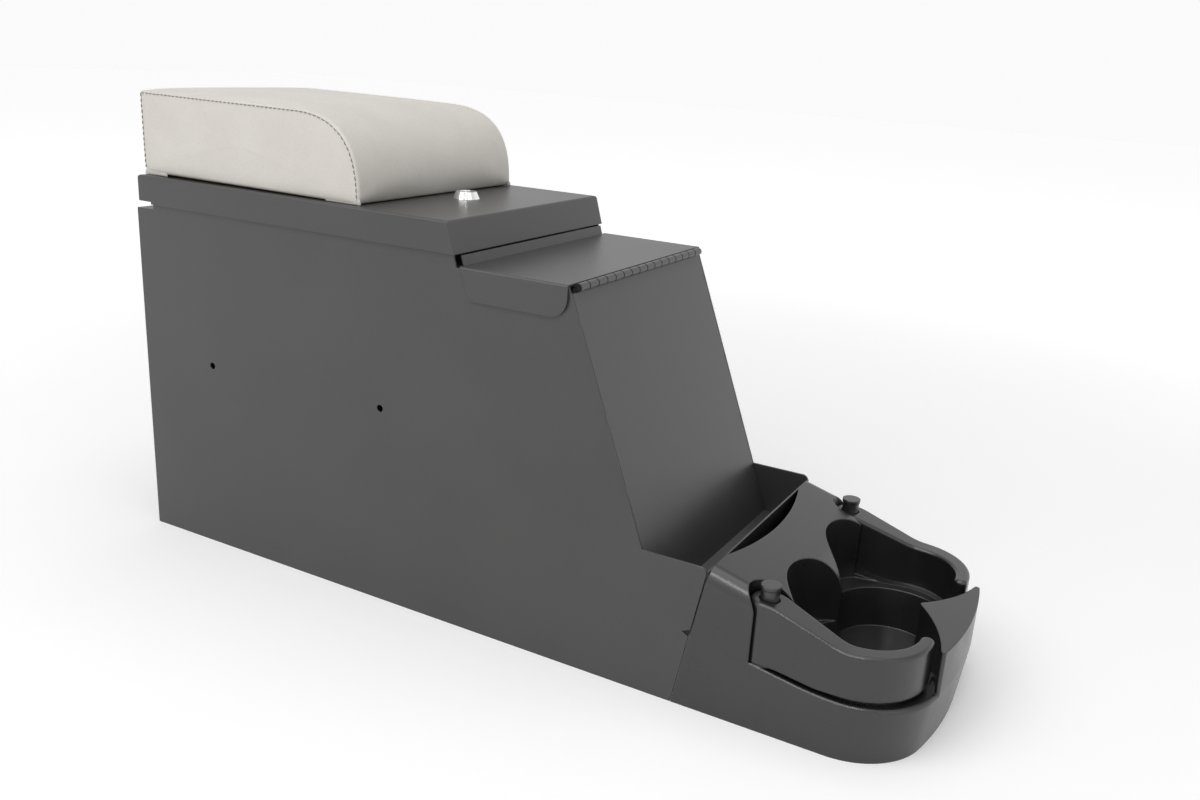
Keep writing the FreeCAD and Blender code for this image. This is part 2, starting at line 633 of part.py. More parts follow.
def flap_hinge():
    """Exposed hinge along the flap's front edge."""
    axis = (FLAP_AXIS, FLAP_AXIS_UP)
    pitch = "dim.knuckle_pitch"
    length = f"({KNUCKLES} * {pitch} - dim.knuckle_gap)"
    flat = box("flap_hinge_flat", (f"({FLAP_AXIS} - dim.leaf_width)", f"(-{length} / 2)", FLAP_AXIS_UP),
               ("dim.leaf_width", length, "dim.leaf"))
    body = new_body("flap_hinge_slope")
    low = f"({FLAP_AXIS_UP} - dim.leaf_width)"
    web_top = f"({FLAP_AXIS_UP} - dim.leaf / 2)"
    web_low = f"({web_top} - dim.leaf)"
    slope_leaf = f"(dim.leaf * sqrt(1 + {SLANT_SLOPE} * {SLANT_SLOPE}))"
    corners = [
        (FLAP_AXIS, web_top),
        (FLAP_AXIS, web_low),
        (f"({slant(web_low)} - {SLANT_SHEET})", web_low),
        (f"({slant(low)} - {SLANT_SHEET})", low),
        (f"({slant(low)} - {SLANT_SHEET} - {slope_leaf})", low),
        (f"({slant(web_top)} - {SLANT_SHEET} - {slope_leaf})", web_top),
    ]
    feature(body, "Pad", outline(body, "XZ_Plane", corners), length)
    hinge_leaf("flap_hinge_panel_leaf", body, axis, pitch, 0)
    hinge_leaf("flap_hinge_flap_leaf", flat, axis, pitch, 1)
    hinge_pin("flap_hinge_pin", axis, pitch)


def armrest():
    """Cushion with a rounded front over its board, and the screws up through the lid."""
    top = measure(LID_TOP) + size("pad_height")
    bottom = measure(LID_TOP) + size("hem_gap")
    rear = size("lid_setback")
    front = rear + size("pad_length")
    brow = (front - size("pad_front_lean"), top - size("pad_front_drop"))
    shape = prism_across(((rear, bottom), (rear, top), brow, (front, bottom)),
                         (0, size("pad_edge"), size("pad_front_radius"), 0), size("pad_width") / 2)
    half = size("pad_width") / 2

    def side_edge(edge):
        middle = edge.valueAt((edge.FirstParameter + edge.LastParameter) / 2)
        return abs(abs(middle.y) - half) < 0.01 and middle.z > bottom + 0.01

    shape = shape.makeFillet(size("pad_edge"), [edge for edge in shape.Edges if side_edge(edge)])
    inset = size("board_inset") - size("board_gap")
    board_top = measure(PAD_BOARD_TOP) + size("board_gap")
    pocket = Part.makeBox(front - rear - 2 * inset, 2 * (half - inset), board_top - bottom + ABOVE,
                          Vector(rear + inset, inset - half, bottom - ABOVE))
    solid("armrest_pad", shape.cut(pocket))
    corner = ("(dim.lid_setback + dim.board_inset)", "dim.board_inset - dim.pad_width / 2", LID_TOP)
    board = box("board_block", corner,
                ("dim.pad_length - 2 * dim.board_inset", "dim.pad_width - 2 * dim.board_inset", "dim.board"))
    pilots = [rod("board_pilot", "dim.pad_screw_radius", "dim.pad_screw_grip", (along, across, LID_TOP))
              for along, across in pad_screw_places()]
    seat(cut("board_drilled", board, pilots), "armrest_board")
    screws = []
    for along, across in pad_screw_places():
        screw = turned("pad_screw", [
            ("0", f"({LID_TOP} + dim.pad_screw_grip)"),
            ("0", f"({LID_UNDER} - dim.pad_screw_head_height)"),
            ("dim.pad_screw_head", f"({LID_UNDER} - dim.pad_screw_head_height)"),
            ("dim.pad_screw_head", LID_UNDER),
            ("dim.pad_screw_radius", LID_UNDER),
            ("dim.pad_screw_radius", f"({LID_TOP} + dim.pad_screw_grip)"),
        ])
        screw.setExpression("Placement.Base.x", along)
        screw.setExpression("Placement.Base.y", across)
        screws.append(screw)
    group = doc.addObject("Part::Compound", "pad_screw_group")
    group.Links = screws
    seat(group, "pad_screws")


def lock():
    """Key lock: chromed bezel and barrel, nut under the lid, turning plug, cam and cam screw."""
    bore = "(dim.plug_radius + dim.pin_clearance)"
    top = f"({LID_TOP} + dim.bezel_height)"
    housing = turned("lock_housing", [
        (bore, LOCK_FOOT), ("dim.lock_radius", LOCK_FOOT), ("dim.lock_radius", LID_TOP),
        ("dim.bezel_radius", LID_TOP), ("dim.bezel_top_radius", top), (bore, top),
    ])
    seat(housing, "lock_housing", LOCK)
    nut = doc.addObject("Part::Prism", "nut_blank")
    nut.Polygon = 6
    nut.setExpression("Circumradius", "dim.nut_radius")
    nut.setExpression("Height", "dim.nut_height")
    hole = rod("nut_hole", "(dim.lock_radius + dim.pin_clearance)", "dim.nut_height", ("0", "0", "0"))
    seat(cut("nut_bored", nut, [hole]), "lock_nut", LOCK, "0", f"{LID_UNDER} - dim.nut_height")
    plug_top = f"({top} - dim.plug_recess)"
    barrel = rod("plug_blank", "dim.plug_radius", f"{plug_top} - {PLUG_FOOT}", ("0", "0", PLUG_FOOT))
    key_foot = f"({plug_top} - dim.keyway_depth)"
    keyway = box("keyway", ("-dim.keyway_width / 2", "-dim.keyway_length / 2", key_foot),
                 ("dim.keyway_width", "dim.keyway_length", "2 * dim.keyway_depth"))
    thread = rod("plug_thread", "dim.cam_screw_radius", "dim.cam_screw_length", ("0", "0", PLUG_FOOT))
    seat(cut("plug_cut", barrel, [keyway, thread]), "lock_plug", LOCK)
    arm = box("cam_arm", ("-dim.cam_width / 2", "-dim.cam_length", CAM_FOOT),
              ("dim.cam_width", "dim.cam_length", "dim.cam"))
    hub = rod("cam_hub", "dim.cam_width / 2", "dim.cam", ("0", "0", CAM_FOOT))
    eye = rod("cam_eye", "dim.cam_screw_radius", "dim.cam", ("0", "0", CAM_FOOT))
    seat(cut("cam_cut", fuse("cam_blank", [arm, hub]), [eye]), "lock_cam", LOCK)
    screw = turned("cam_screw", [
        ("0", f"({CAM_FOOT} - dim.cam)"), ("dim.cam_screw_head", f"({CAM_FOOT} - dim.cam)"),
        ("dim.cam_screw_head", CAM_FOOT), ("dim.cam_screw_radius", CAM_FOOT),
        ("dim.cam_screw_radius", f"({PLUG_FOOT} + dim.cam_screw_length)"),
        ("0", f"({PLUG_FOOT} + dim.cam_screw_length)"),
    ])
    seat(screw, "cam_screw", LOCK)


def corner_arc(before, corner, after, radius):
    """Tangent points and middle of the arc that rounds a corner of a flat outline."""
    back = (before - corner).normalize()
    ahead = (after - corner).normalize()
    half_turn = math.acos(max(-1.0, min(1.0, back.dot(ahead)))) / 2
    reach = radius / math.tan(half_turn)
    middle = corner + (back + ahead).normalize() * (radius / math.sin(half_turn))
    inward = (corner - middle).normalize()
    return corner + back * reach, middle + inward * radius, corner + ahead * reach


def rounded_wire(points, radii):
    """Closed wire through points, each corner rounded by its radius."""
    count = len(points)
    stops = []
    for i, radius in enumerate(radii):
        if radius > 0:
            stops.append(corner_arc(points[i - 1], points[i], points[(i + 1) % count], radius))
        else:
            stops.append((points[i], None, points[i]))
    edges = []
    for i, (first, middle, last) in enumerate(stops):
        if middle is not None:
            edges.append(Part.Arc(first, middle, last).toShape())
        following = stops[(i + 1) % count][0]
        if last.distanceToPoint(following) > 1e-6:
            edges.append(Part.LineSegment(last, following).toShape())
    return Part.Wire(edges)


def prism_across(profile, radii, half):
    """Side profile of pairs of length and height, carried across the console from -half to half."""
    points = [Vector(along, -half, up) for along, up in profile]
    return Part.Face(rounded_wire(points, radii)).extrude(Vector(0, 2 * half, 0))


def upright(wire, low, high):
    """Flat outline raised from one height to another."""
    face = Part.Face(wire)
    face.translate(Vector(0, 0, low))
    return face.extrude(Vector(0, 0, high - low))


def pair(shape):
    """A shape and its mirror image about the middle of the console."""
    return [shape, shape.mirror(Vector(), Vector(0, 1, 0))]


def nose_wire(nose, inset, height):
    """Plan of the moulding: straight sides, round corners and a slightly round nose."""
    half = size("body_width") / 2 - inset
    corner = size("nose_corner") - inset
    front = size("nose_radius") - inset
    tip = nose - inset
    back = measure(SLANT_FOOT)
    hub = Vector(tip - front, 0, height)
    side = half - corner
    along = hub.x + math.sqrt((front - corner) ** 2 - side ** 2)
    ends = {}
    for sign in (-1, 1):
        middle = Vector(along, sign * side, height)
        away = (middle - hub).normalize()
        ends[sign] = (Vector(along, sign * half, height),
                      middle + (away + Vector(0, sign, 0)).normalize() * corner,
                      middle + away * corner)
    rear_right = Vector(back, -half, height)
    rear_left = Vector(back, half, height)
    return Part.Wire([
        Part.LineSegment(rear_right, ends[-1][0]).toShape(),
        Part.Arc(*ends[-1]).toShape(),
        Part.Arc(ends[-1][2], Vector(tip, 0, height), ends[1][2]).toShape(),
        Part.Arc(*reversed(ends[1])).toShape(),
        Part.LineSegment(ends[1][0], rear_left).toShape(),
        Part.LineSegment(rear_left, rear_right).toShape(),
    ])


def ahead_of_seam(inset):
    """Everything in front of the leaning seam, less an inset."""
    front = measure(NOSE) + ABOVE
    top = size("bulkhead_rear") + ABOVE
    return prism_across(((measure(seam("0")) - size("seam_run") / size("tray_top") * ABOVE + inset, -ABOVE),
                         (front, -ABOVE), (front, top), (measure(seam(str(top))) + inset, top)),
                        (0, 0, 0, 0), WIDE / 2)


def skirt(inset):
    """Base of the moulding: its sides lean out to the nose, and its top is the ledge below the arms."""
    nose = measure(NOSE)
    lean = size("nose_tuck") / size("ledge_front")
    low = -ABOVE if inset else 0.0
    high = size("ledge_rear") + ABOVE
    wires = [nose_wire(nose - lean * (size("ledge_front") - height), inset, height) for height in (low, high)]
    body = Part.makeLoft(wires, True, True)
    rear = measure(seam("dim.ledge_rear"))
    fall = (size("ledge_rear") - size("ledge_front")) / size("ledge_run")
    level = size("ledge_front") - inset
    behind = measure(SLANT_FOOT)
    under = prism_across(((behind, low - ABOVE), (nose + ABOVE, low - ABOVE), (nose + ABOVE, level),
                          (rear + size("ledge_run"), level),
                          (behind, size("ledge_rear") - inset + fall * (rear - behind))),
                         (0, 0, 0, size("ledge_bend"), 0), WIDE / 2)
    return body.common(under).common(ahead_of_seam(inset))


def lip_edges(shape):
    """Outer edges of the ledge."""
    nose = measure(NOSE)
    half = size("body_width") / 2
    low = size("ledge_front") - 0.01
    found = []
    for edge in shape.Edges:
        middle = edge.valueAt((edge.FirstParameter + edge.LastParameter) / 2)
        outer = abs(middle.y) > half - size("nose_corner") / 2 or middle.x > nose - size("wall")
        if middle.z > low and outer and abs(edge.tangentAt(edge.FirstParameter).z) < 0.3:
            found.append(edge)
    return found


def arm_inside(gap):
    """Edges of the right arm's rear end and inner side, grown by a gap, from its outer side to its tip."""
    pivot = Vector(measure(PIVOT), -measure(PIVOT_SIDE), 0)
    boss = size("boss_radius") + gap
    inner = size("arm_inner") - gap
    front = pivot.x + size("arm_corner_reach") + size("arm_corner")
    hub = Vector(front - size("arm_tip") - size("arm_inner"),
                 pivot.y - size("boss_radius") + size("arm_thick") + size("arm_inner"), 0)
    away = hub - pivot
    heading = math.atan2(away.y, away.x) - math.asin((boss + inner) / away.Length)
    left = Vector(-math.sin(heading), math.cos(heading), 0)
    start = Vector(pivot.x, pivot.y - boss, 0)
    turn = (math.atan2(left.y, left.x) + 1.5 * math.pi) / 2
    behind = pivot + Vector(math.cos(turn), math.sin(turn), 0) * boss
    bend = (heading - math.pi / 2) / 2
    tip = hub + Vector(inner, 0, 0)
    return [
        Part.Arc(start, behind, pivot + left * boss).toShape(),
        Part.LineSegment(pivot + left * boss, hub - left * inner).toShape(),
        Part.Arc(hub - left * inner, hub + Vector(math.cos(bend), math.sin(bend), 0) * inner, tip).toShape(),
    ], start, tip


def arm_wire():
    """Plan of the right arm: round rear end, straight side, corner and round tip."""
    edges, start, tip = arm_inside(0)
    radius = size("arm_corner")
    hub = Vector(start.x + size("arm_corner_reach"), start.y + radius, 0)
    outer = hub + Vector(radius, 0, 0)
    cap = Vector(outer.x, tip.y, 0)
    crown = (tip + cap) * 0.5 + Vector(0, (cap.x - tip.x) / 2, 0)
    edges += [
        Part.Arc(tip, crown, cap).toShape(),
        Part.LineSegment(cap, outer).toShape(),
        Part.Arc(outer, hub + Vector(1, -1, 0).normalize() * radius, Vector(hub.x, start.y, 0)).toShape(),
        Part.LineSegment(Vector(hub.x, start.y, 0), start).toShape(),
    ]
    return Part.Wire(edges)


def arm_pocket(gap):
    """Room for the right arm and its swing: all that lies outside the arm's inner side, grown by a gap."""
    edges, start, tip = arm_inside(gap)
    inside = tip.y + size("arm_tip") / 2 + gap
    far = measure(NOSE) + ABOVE
    stops = [tip, Vector(tip.x, inside, 0), Vector(far, inside, 0), Vector(far, -WIDE / 2, 0),
             Vector(start.x, -WIDE / 2, 0), start]
    for first, last in zip(stops, stops[1:]):
        edges.append(Part.LineSegment(first, last).toShape())
    return upright(Part.Wire(edges), -2 * ABOVE, size("bulkhead_rear") + ABOVE)


def cup_arms():
    """Swinging arms, sloping down to a low tip, with a counterbored eye for the pivot pin."""
    pivot = measure(PIVOT)
    side = -measure(PIVOT_SIDE)
    tip = measure(NOSE) + ABOVE
    rear = pivot - 2 * size("boss_radius")
    high = size("arm_top_rear")
    seat_top = size("seat_height") + size("rest_gap")
    slope = pivot + size("arm_flat")
    foot = pivot + size("boss_radius")
    front_low = size("ledge_front") + size("arm_lift")
    bend = size("arm_bend")
    profile = ((rear, seat_top), (foot, seat_top), (foot + size("arm_foot_run"), front_low), (tip, front_low),
               (tip, size("arm_top_front")), (slope + size("arm_slope_run"), size("arm_top_front")),
               (slope, high), (rear, high))
    band = prism_across(profile, (0, bend, bend, 0, 0, bend, bend, 0), WIDE / 2)
    arm = upright(arm_wire(), 0, high + ABOVE).common(band)

    def top_edge(edge):
        middle = edge.valueAt((edge.FirstParameter + edge.LastParameter) / 2)
        heading = edge.tangentAt((edge.FirstParameter + edge.LastParameter) / 2)
        seam_line = isinstance(edge.Curve, Part.Line) and abs(heading.y) > 0.99
        return middle.z > size("arm_top_front") - 0.01 and not seam_line

    arm = arm.makeFillet(size("arm_edge"), [edge for edge in arm.Edges if top_edge(edge)])
    bore = Part.makeCylinder(size("stem_radius") + size("pin_clearance"), high + ABOVE,
                             Vector(pivot, side, 0))
    mouth = Part.makeCylinder(size("counterbore_radius"), high,
                              Vector(pivot, side, high - size("counterbore_depth")))
    arm = arm.cut(bore.fuse(mouth))
    for label, shape in zip(("right_cup_arm", "left_cup_arm"), pair(arm)):
        solid(label, shape)


def pivot_pins():
    """Headed pins, with a foot in the moulding and a shoulder over each arm's counterbore."""
    shoulder = "(dim.arm_top_rear - dim.counterbore_depth + dim.rest_gap)"
    top = "(dim.arm_top_rear + dim.knob_rise)"
    foot = "(dim.seat_height - dim.spigot_length)"
    profile = [
        ("0", foot), ("dim.spigot_radius", foot), ("dim.spigot_radius", "dim.seat_height"),
        ("dim.stem_radius", "dim.seat_height"), ("dim.stem_radius", shoulder), ("dim.neck_radius", shoulder),
        ("dim.neck_radius", f"({top} - dim.knob_height)"), ("dim.knob_radius", f"({top} - dim.knob_height)"),
        ("dim.knob_radius", top), ("0", top),
    ]
    for label, side in (("right_pivot_pin", -1), ("left_pivot_pin", 1)):
        seat(turned(label, profile), label, PIVOT, f"{side} * {PIVOT_SIDE}")


def bulkhead(inset):
    """Saddle between the tray and the cup: sloping top, rolled front and rounded sides."""
    behind = measure(SLANT_FOOT)
    fall = size("bulkhead_fall")
    front = measure(SEAM_TOP) + size("tongue_reach") - inset
    drop = inset * math.hypot(1, fall)

    def height(along):
        return size("bulkhead_rear") - drop - fall * (along - measure(SEAM_TOP))

    half = size("body_width") / 2 - size("bulkhead_inset") - inset
    low = -ABOVE if inset else 0.0
    shape = prism_across(((behind, low), (front, low), (front, height(front)), (behind, height(behind))),
                         (0, 0, size("tongue_radius") - inset, 0), half)

    def side_edge(edge):
        middle = edge.valueAt((edge.FirstParameter + edge.LastParameter) / 2)
        return abs(abs(middle.y) - half) < 0.01 and middle.z > low + 0.01 and middle.x > behind + 0.01

    shape = shape.makeFillet(size("bulkhead_edge") - inset, [edge for edge in shape.Edges if side_edge(edge)])
    return shape.common(ahead_of_seam(inset))


def scoops(inset, floor):
    """Two upright hollows in the bulkhead's front, either side of its tongue."""
    place = Vector(measure(SEAM_TOP) + size("scoop_reach"), size("scoop_spread"), floor)
    hollow = Part.makeCylinder(size("scoop_radius") + inset, 2 * size("bulkhead_rear"), place)
    right, left = pair(hollow)
    return right.fuse(left)


def scallop(inset):
    """Shallow finger hollow in the bulkhead's rear edge, from the tray's floor up."""
    sag = size("scallop_depth")
    radius = (size("scallop_half") ** 2 + sag ** 2) / (2 * sag)
    place = Vector(measure(SEAM_TOP) + sag - radius, 0, measure(TRAY_FLOOR) - inset)
    return Part.makeCylinder(radius + inset, size("bulkhead_rear"), place)


def nose_pillar(inset):
    """Nose between the arms' tips: hollow sides, rounded upright edges and a sloping top."""
    nose = measure(NOSE)
    axis = Vector(measure(SEAM_TOP) + size("hollow_reach"), size("hollow_spread"), -WIDE / 2)
    cusp = axis.x + math.sqrt(size("hollow_radius") ** 2 - axis.y ** 2)
    rear = cusp - ABOVE
    front = nose + ABOVE
    low = -ABOVE if inset else 0.0
    top = size("pillar_top") - inset
    high = size("pillar_top") + ABOVE
    fall = size("pillar_fall")
    plan = nose_wire(nose, inset, 0)
    under = prism_across(((rear, low), (front, low), (front, top - fall * (front - cusp)),
                          (rear, top + fall * ABOVE)), (0, 0, 0, 0), WIDE / 2)
    right, left = pair(Part.makeCylinder(size("hollow_radius") + inset, WIDE, axis))
    post = upright(plan, low, high).common(under).cut(right).cut(left)
    if inset == 0:
        for radius, in_middle in ((size("cusp_edge"), True), (size("pillar_edge"), False)):
            post = post.makeFillet(radius, [edge for edge in post.Edges if
                                            abs(edge.tangentAt(edge.FirstParameter).z) > 0.99
                                            and (abs(edge.Vertexes[0].Y) < 0.01) == in_middle
                                            and edge.Vertexes[0].X < nose - 0.01])
    block = skirt(inset).fuse(upright(plan, size("ledge_front") - inset, high))
    return block.common(post)


def cup_wells(inset):
    """Two slightly tapered wells, side by side and open to each other."""
    floor = size("well_floor") - inset
    depth = size("deck_height") - size("well_floor")
    flare = (size("well_radius") - size("well_floor_radius")) / depth
    rise = size("deck_height") + ABOVE - floor
    low = size("well_floor_radius") + inset
    foot = Vector(measure(SEAM_TOP) + size("well_reach"), size("well_spread"), floor)
    right, left = pair(Part.makeCone(low, low + flare * rise, rise, foot))
    return right.fuse(left)


def deck_box(rear, low, high, inset):
    """Block between the arm pivots, from a rear end to the arms' front."""
    front = measure(PIVOT) + size("arm_corner_reach") + size("arm_corner") - inset
    side = measure(PIVOT_SIDE)
    return Part.makeBox(front - rear, 2 * side, high - low, Vector(rear, -side, low))


def deck_room(inset):
    """Space over the deck, between the arms' inner sides."""
    room = deck_box(measure(PIVOT) - size("boss_radius") - inset, size("deck_height") - inset,
                    size("bulkhead_rear"), -inset)
    for outside in pair(arm_pocket(size("arm_gap") - inset)):
        room = room.cut(outside)
    return room


def mould_blank(inset):
    """Outside of the moulding, or with an inset the space inside its walls."""
    low = -ABOVE if inset else 0.0
    deck_top = size("deck_height") - inset
    saddle = bulkhead(inset)
    upper = saddle.cut(scoops(inset, deck_top)).fuse(deck_box(measure(PIVOT), low, deck_top, inset))
    for room in pair(arm_pocket(size("arm_gap") + inset)):
        upper = upper.cut(room)
    upper = upper.cut(scallop(inset))
    base = skirt(inset)
    wells = cup_wells(inset)
    pillar = nose_pillar(inset)
    if inset == 0:
        base = base.makeFillet(size("lip_edge"), lip_edges(base))
        wells = wells.cut(saddle.cut(scoops(inset, low))).cut(pillar)
    base = base.cut(deck_room(inset))
    return upper.fuse([base, pillar]).cut(wells)


def seam_rod(radius, length, side):
    """Rod along a cup holder screw, forward from the seam."""
    height = size("mould_screw_height")
    foot = Vector(measure(seam("dim.mould_screw_height")), side * size("mould_screw_spread"), height)
    lean = size("seam_run") / size("tray_top")
    return Part.makeCylinder(radius, length, foot, Vector(1, 0, -lean).normalize())


def cup_holder():
    """One plastic moulding, open below: base, bulkhead, deck, cup wells, nose pillar and bosses."""
    shape = mould_blank(0.0).cut(mould_blank(size("wall")))
    seat_top = size("seat_height")
    for side in (-1, 1):
        axis = Vector(measure(PIVOT), side * measure(PIVOT_SIDE), 0)
        depth = size("spigot_length") + size("wall")
        room = Part.makeCylinder(size("boss_radius") + size("arm_gap"), size("ledge_rear"),
                                 axis + Vector(0, 0, seat_top))
        bore_depth = size("spigot_length") + size("bore_spare")
        pad = Part.makeCylinder(size("seat_radius"), 2 * size("wall"),
                                axis + Vector(0, 0, seat_top - 2 * size("wall")))
        boss = Part.makeCylinder(size("spigot_radius") + size("wall"), depth,
                                 axis + Vector(0, 0, seat_top - depth))
        bore = Part.makeCylinder(size("spigot_radius") + size("pin_clearance"), bore_depth,
                                 axis + Vector(0, 0, seat_top - bore_depth))
        screw_boss = seam_rod(size("screw_boss"), size("mould_screw_length") + size("wall"), side)
        screw_bore = seam_rod(size("mould_screw_radius"), size("mould_screw_length") + size("bore_spare"),
                              side)
        shape = shape.cut(room)
        for piece in (pad, boss, screw_boss):
            shape = shape.fuse(piece)
        for tool in (bore, screw_bore):
            shape = shape.cut(tool)
    solid("cup_holder", shape)


def cup_holder_screws():
    """Screws through the tray's front into the moulding, heads in the tray."""
    under = "(-dim.sheet)"
    top = "(-dim.sheet - dim.mould_screw_head_height)"
    screws = []
    for side in (-1, 1):
        screw = turned("mould_screw", [
            ("0", top), ("dim.mould_screw_head", top), ("dim.mould_screw_head", under),
            ("dim.mould_screw_radius", under), ("dim.mould_screw_radius", "dim.mould_screw_length"),
            ("0", "dim.mould_screw_length"),
        ])
        screw.setExpression("Placement.Base.x", seam("dim.mould_screw_height"))
        screw.setExpression("Placement.Base.y", f"{side} * dim.mould_screw_spread")
        screw.setExpression("Placement.Base.z", "dim.mould_screw_height")
        screws.append(square_to_seam(screw))
    group = doc.addObject("Part::Compound", "mould_screw_group")
    group.Links = screws
    seat(group, "cup_holder_screws")


def check(items):
    """Stop if anything in the document failed or has no sound shape."""
    doc.recompute()
    for item in doc.Objects:
        if "Invalid" in item.State or "Error" in item.State:
            raise RuntimeError(f"{item.Label}: {item.State}")
    for item in items:
        if item.Shape.isNull() or not item.Shape.isValid() or not item.Shape.Solids:
            raise RuntimeError(f"{item.Label} has no sound shape")


side_panel("right_side_panel", -1)
side_panel("left_side_panel", 1)
rear_panel()
front_panel()
floor_panel()
latch_rail()
lid()
front_flap()
lid_hinge()
flap_hinge()
armrest()
lock()
cup_holder()
cup_arms()
pivot_pins()
cup_holder_screws()
check(subparts)

os.makedirs("parts", exist_ok=True)
for item in subparts:
    item.Shape.exportStep(f"parts/{item.Label}.step")
    solids = len(item.Shape.Solids)
    print(f"{item.Label}: {solids} solid(s), {item.Shape.Volume / 1000:.1f} cm3")
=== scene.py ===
# %% [markdown]
# This lesson dresses a lockable steel console that stands between the seats of a vehicle. Its plates, hinges,
# lock and cup holder come from a CAD program with exact sizes, so they are loaded and never moved. What a CAD
# program is poor at is added here: soft upholstery, stitches, weld beads, paint and light. Everything is in
# metres. X runs from the rear to the nose, Y to the left side, and Z is up from the floor.

import json
import math

import bmesh
import bpy
import numpy as np
from mathutils import Matrix, Vector


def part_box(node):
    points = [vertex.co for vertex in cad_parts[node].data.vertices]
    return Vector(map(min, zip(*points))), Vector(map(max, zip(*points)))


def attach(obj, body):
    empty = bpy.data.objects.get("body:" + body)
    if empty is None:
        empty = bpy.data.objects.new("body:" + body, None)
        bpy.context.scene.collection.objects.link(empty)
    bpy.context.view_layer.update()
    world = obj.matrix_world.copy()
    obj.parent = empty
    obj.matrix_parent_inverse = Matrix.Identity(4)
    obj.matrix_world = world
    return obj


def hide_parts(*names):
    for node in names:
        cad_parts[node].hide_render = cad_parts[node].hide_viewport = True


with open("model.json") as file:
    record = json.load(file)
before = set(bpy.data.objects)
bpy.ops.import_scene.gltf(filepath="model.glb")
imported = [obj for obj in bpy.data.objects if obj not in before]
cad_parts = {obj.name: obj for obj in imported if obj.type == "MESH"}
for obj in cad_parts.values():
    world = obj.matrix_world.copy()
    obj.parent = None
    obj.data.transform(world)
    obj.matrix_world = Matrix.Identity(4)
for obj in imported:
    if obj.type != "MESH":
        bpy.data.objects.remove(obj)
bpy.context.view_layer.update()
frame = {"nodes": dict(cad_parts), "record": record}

# %% [markdown]
# A shader is a graph of nodes, but most of what it does is arithmetic. The first class wraps one output of a
# node, so that a line such as 1 - mask adds the right Math node by itself. The second holds a material and
# has a single method that adds any node: its settings go first, because some decide which sockets exist.


# %% Write shaders as arithmetic
class Signal:
    """An output of a shader node that can stand in an expression, where each operation adds one Math node."""

    def __init__(self, finish, socket):
        self.finish = finish
        self.socket = socket

    def math(self, operation, first, second):
        return self.finish.node("ShaderNodeMath", {"operation": operation}, {0: first, 1: second})

    def __add__(self, other):
        return self.math("ADD", self, other)

    def __radd__(self, other):
        return self.math("ADD", other, self)

    def __sub__(self, other):
        return self.math("SUBTRACT", self, other)

    def __rsub__(self, other):
        return self.math("SUBTRACT", other, self)

    def __mul__(self, other):
        return self.math("MULTIPLY", self, other)

    def __rmul__(self, other):
        return self.math("MULTIPLY", other, self)


class Finish:
    """A material in the making: a Principled surface, and one method that adds every other node."""

    def __init__(self, name):
        self.material = bpy.data.materials.new(name)
        self.material.use_nodes = True
        self.tree = self.material.node_tree
        self.surface = self.tree.nodes["Principled BSDF"]
        self.place = self.node("ShaderNodeTexCoord", output="Object")

    def feed(self, socket, value):
        if isinstance(value, Signal):
            self.tree.links.new(value.socket, socket)
        else:
            socket.default_value = value

    def node(self, kind, settings=None, inputs=None, output=0):
        made = self.tree.nodes.new(kind)
        for key, value in (settings or {}).items():
            setattr(made, key, value)
        for key, value in (inputs or {}).items():
            self.feed(made.inputs[key], value)
        return Signal(self, made.outputs[output])

    def show(self, inputs):
        for key, value in inputs.items():
            self.feed(self.surface.inputs[key], value)
        return self.material


# %% [markdown]
# Four small helpers cover most finishes. Noise has a grain size in millimetres. A step turns a number into a
# soft mask between two limits. A mix runs between two colours; a bump turns a height into a tilted normal.
# Real edges are never razor sharp, so a Bevel node rounds every normal that meets an edge before the bump.

# %% Helpers that finishes share
MM = 0.001


def noise(finish, grain, detail=2.0, stretch=(1.0, 1.0, 1.0)):
    """Noise from 0 to 1 with grains of about the given millimetres, drawn out along an axis by stretch."""
    scaled = finish.node("ShaderNodeVectorMath", {"operation": "DIVIDE"}, {0: finish.place, 1: stretch})
    inputs = {"Vector": scaled, "Scale": 1 / (grain * MM), "Detail": detail}
    return finish.node("ShaderNodeTexNoise", {}, inputs)


def step(finish, value, low, high):
    """0 below low, 1 above high, and a smooth S in between."""
    limits = {"Value": value, "From Min": low, "From Max": high}
    return finish.node("ShaderNodeMapRange", {"interpolation_type": "SMOOTHSTEP"}, limits)


def mix(finish, mask, first, second):
    """The first colour where the mask is 0 and the second where it is 1."""
    return finish.node("ShaderNodeMix", {"data_type": "RGBA"}, {0: mask, 6: first, 7: second}, 2)


def rounded(finish, radius):
    """Normals of the surface as if each edge were rounded by a radius in millimetres."""
    return finish.node("ShaderNodeBevel", {"samples": 6}, {"Radius": radius * MM})


def bump(finish, height, depth, normal):
    """The normal tilted by a height from 0 to 1 that stands for a depth in millimetres."""
    inputs = {"Strength": 1.0, "Distance": depth * MM, "Height": height, "Normal": normal}
    return finish.node("ShaderNodeBump", {}, inputs)


def highlight_edge_mask(finish, normal):
    """Where a painted highlight goes: 1 on the rounded edges and 0 on the flats, by how far the rounded
    normal leans from the plain one.
    """
    plain = finish.node("ShaderNodeNewGeometry", {}, {}, "Normal")
    facing = finish.node("ShaderNodeVectorMath", {"operation": "DOT_PRODUCT"}, {0: normal, 1: plain}, "Value")
    return step(finish, 1 - facing, 0.02, 0.3)


def grey(level, warm=0.0):
    """An opaque grey, with a little more red and less blue if it is warm."""
    return (level * (1 + warm), level, level * (1 - warm), 1.0)


# %% [markdown]
# Powder coat is paint that is sprayed on as dust and melted in an oven. It dries to a satin skin with a fine
# pebble, and its tone drifts a little over a large plate. Its rounded edges are painted paler, a painted
# highlight.
# On the flap's hinge, the gaps between the knuckles are painted near black as painted shade, so a fold of Y
# marks them.

# %% Powder coat on the steel
KNUCKLE_PITCH = 12.7 * MM


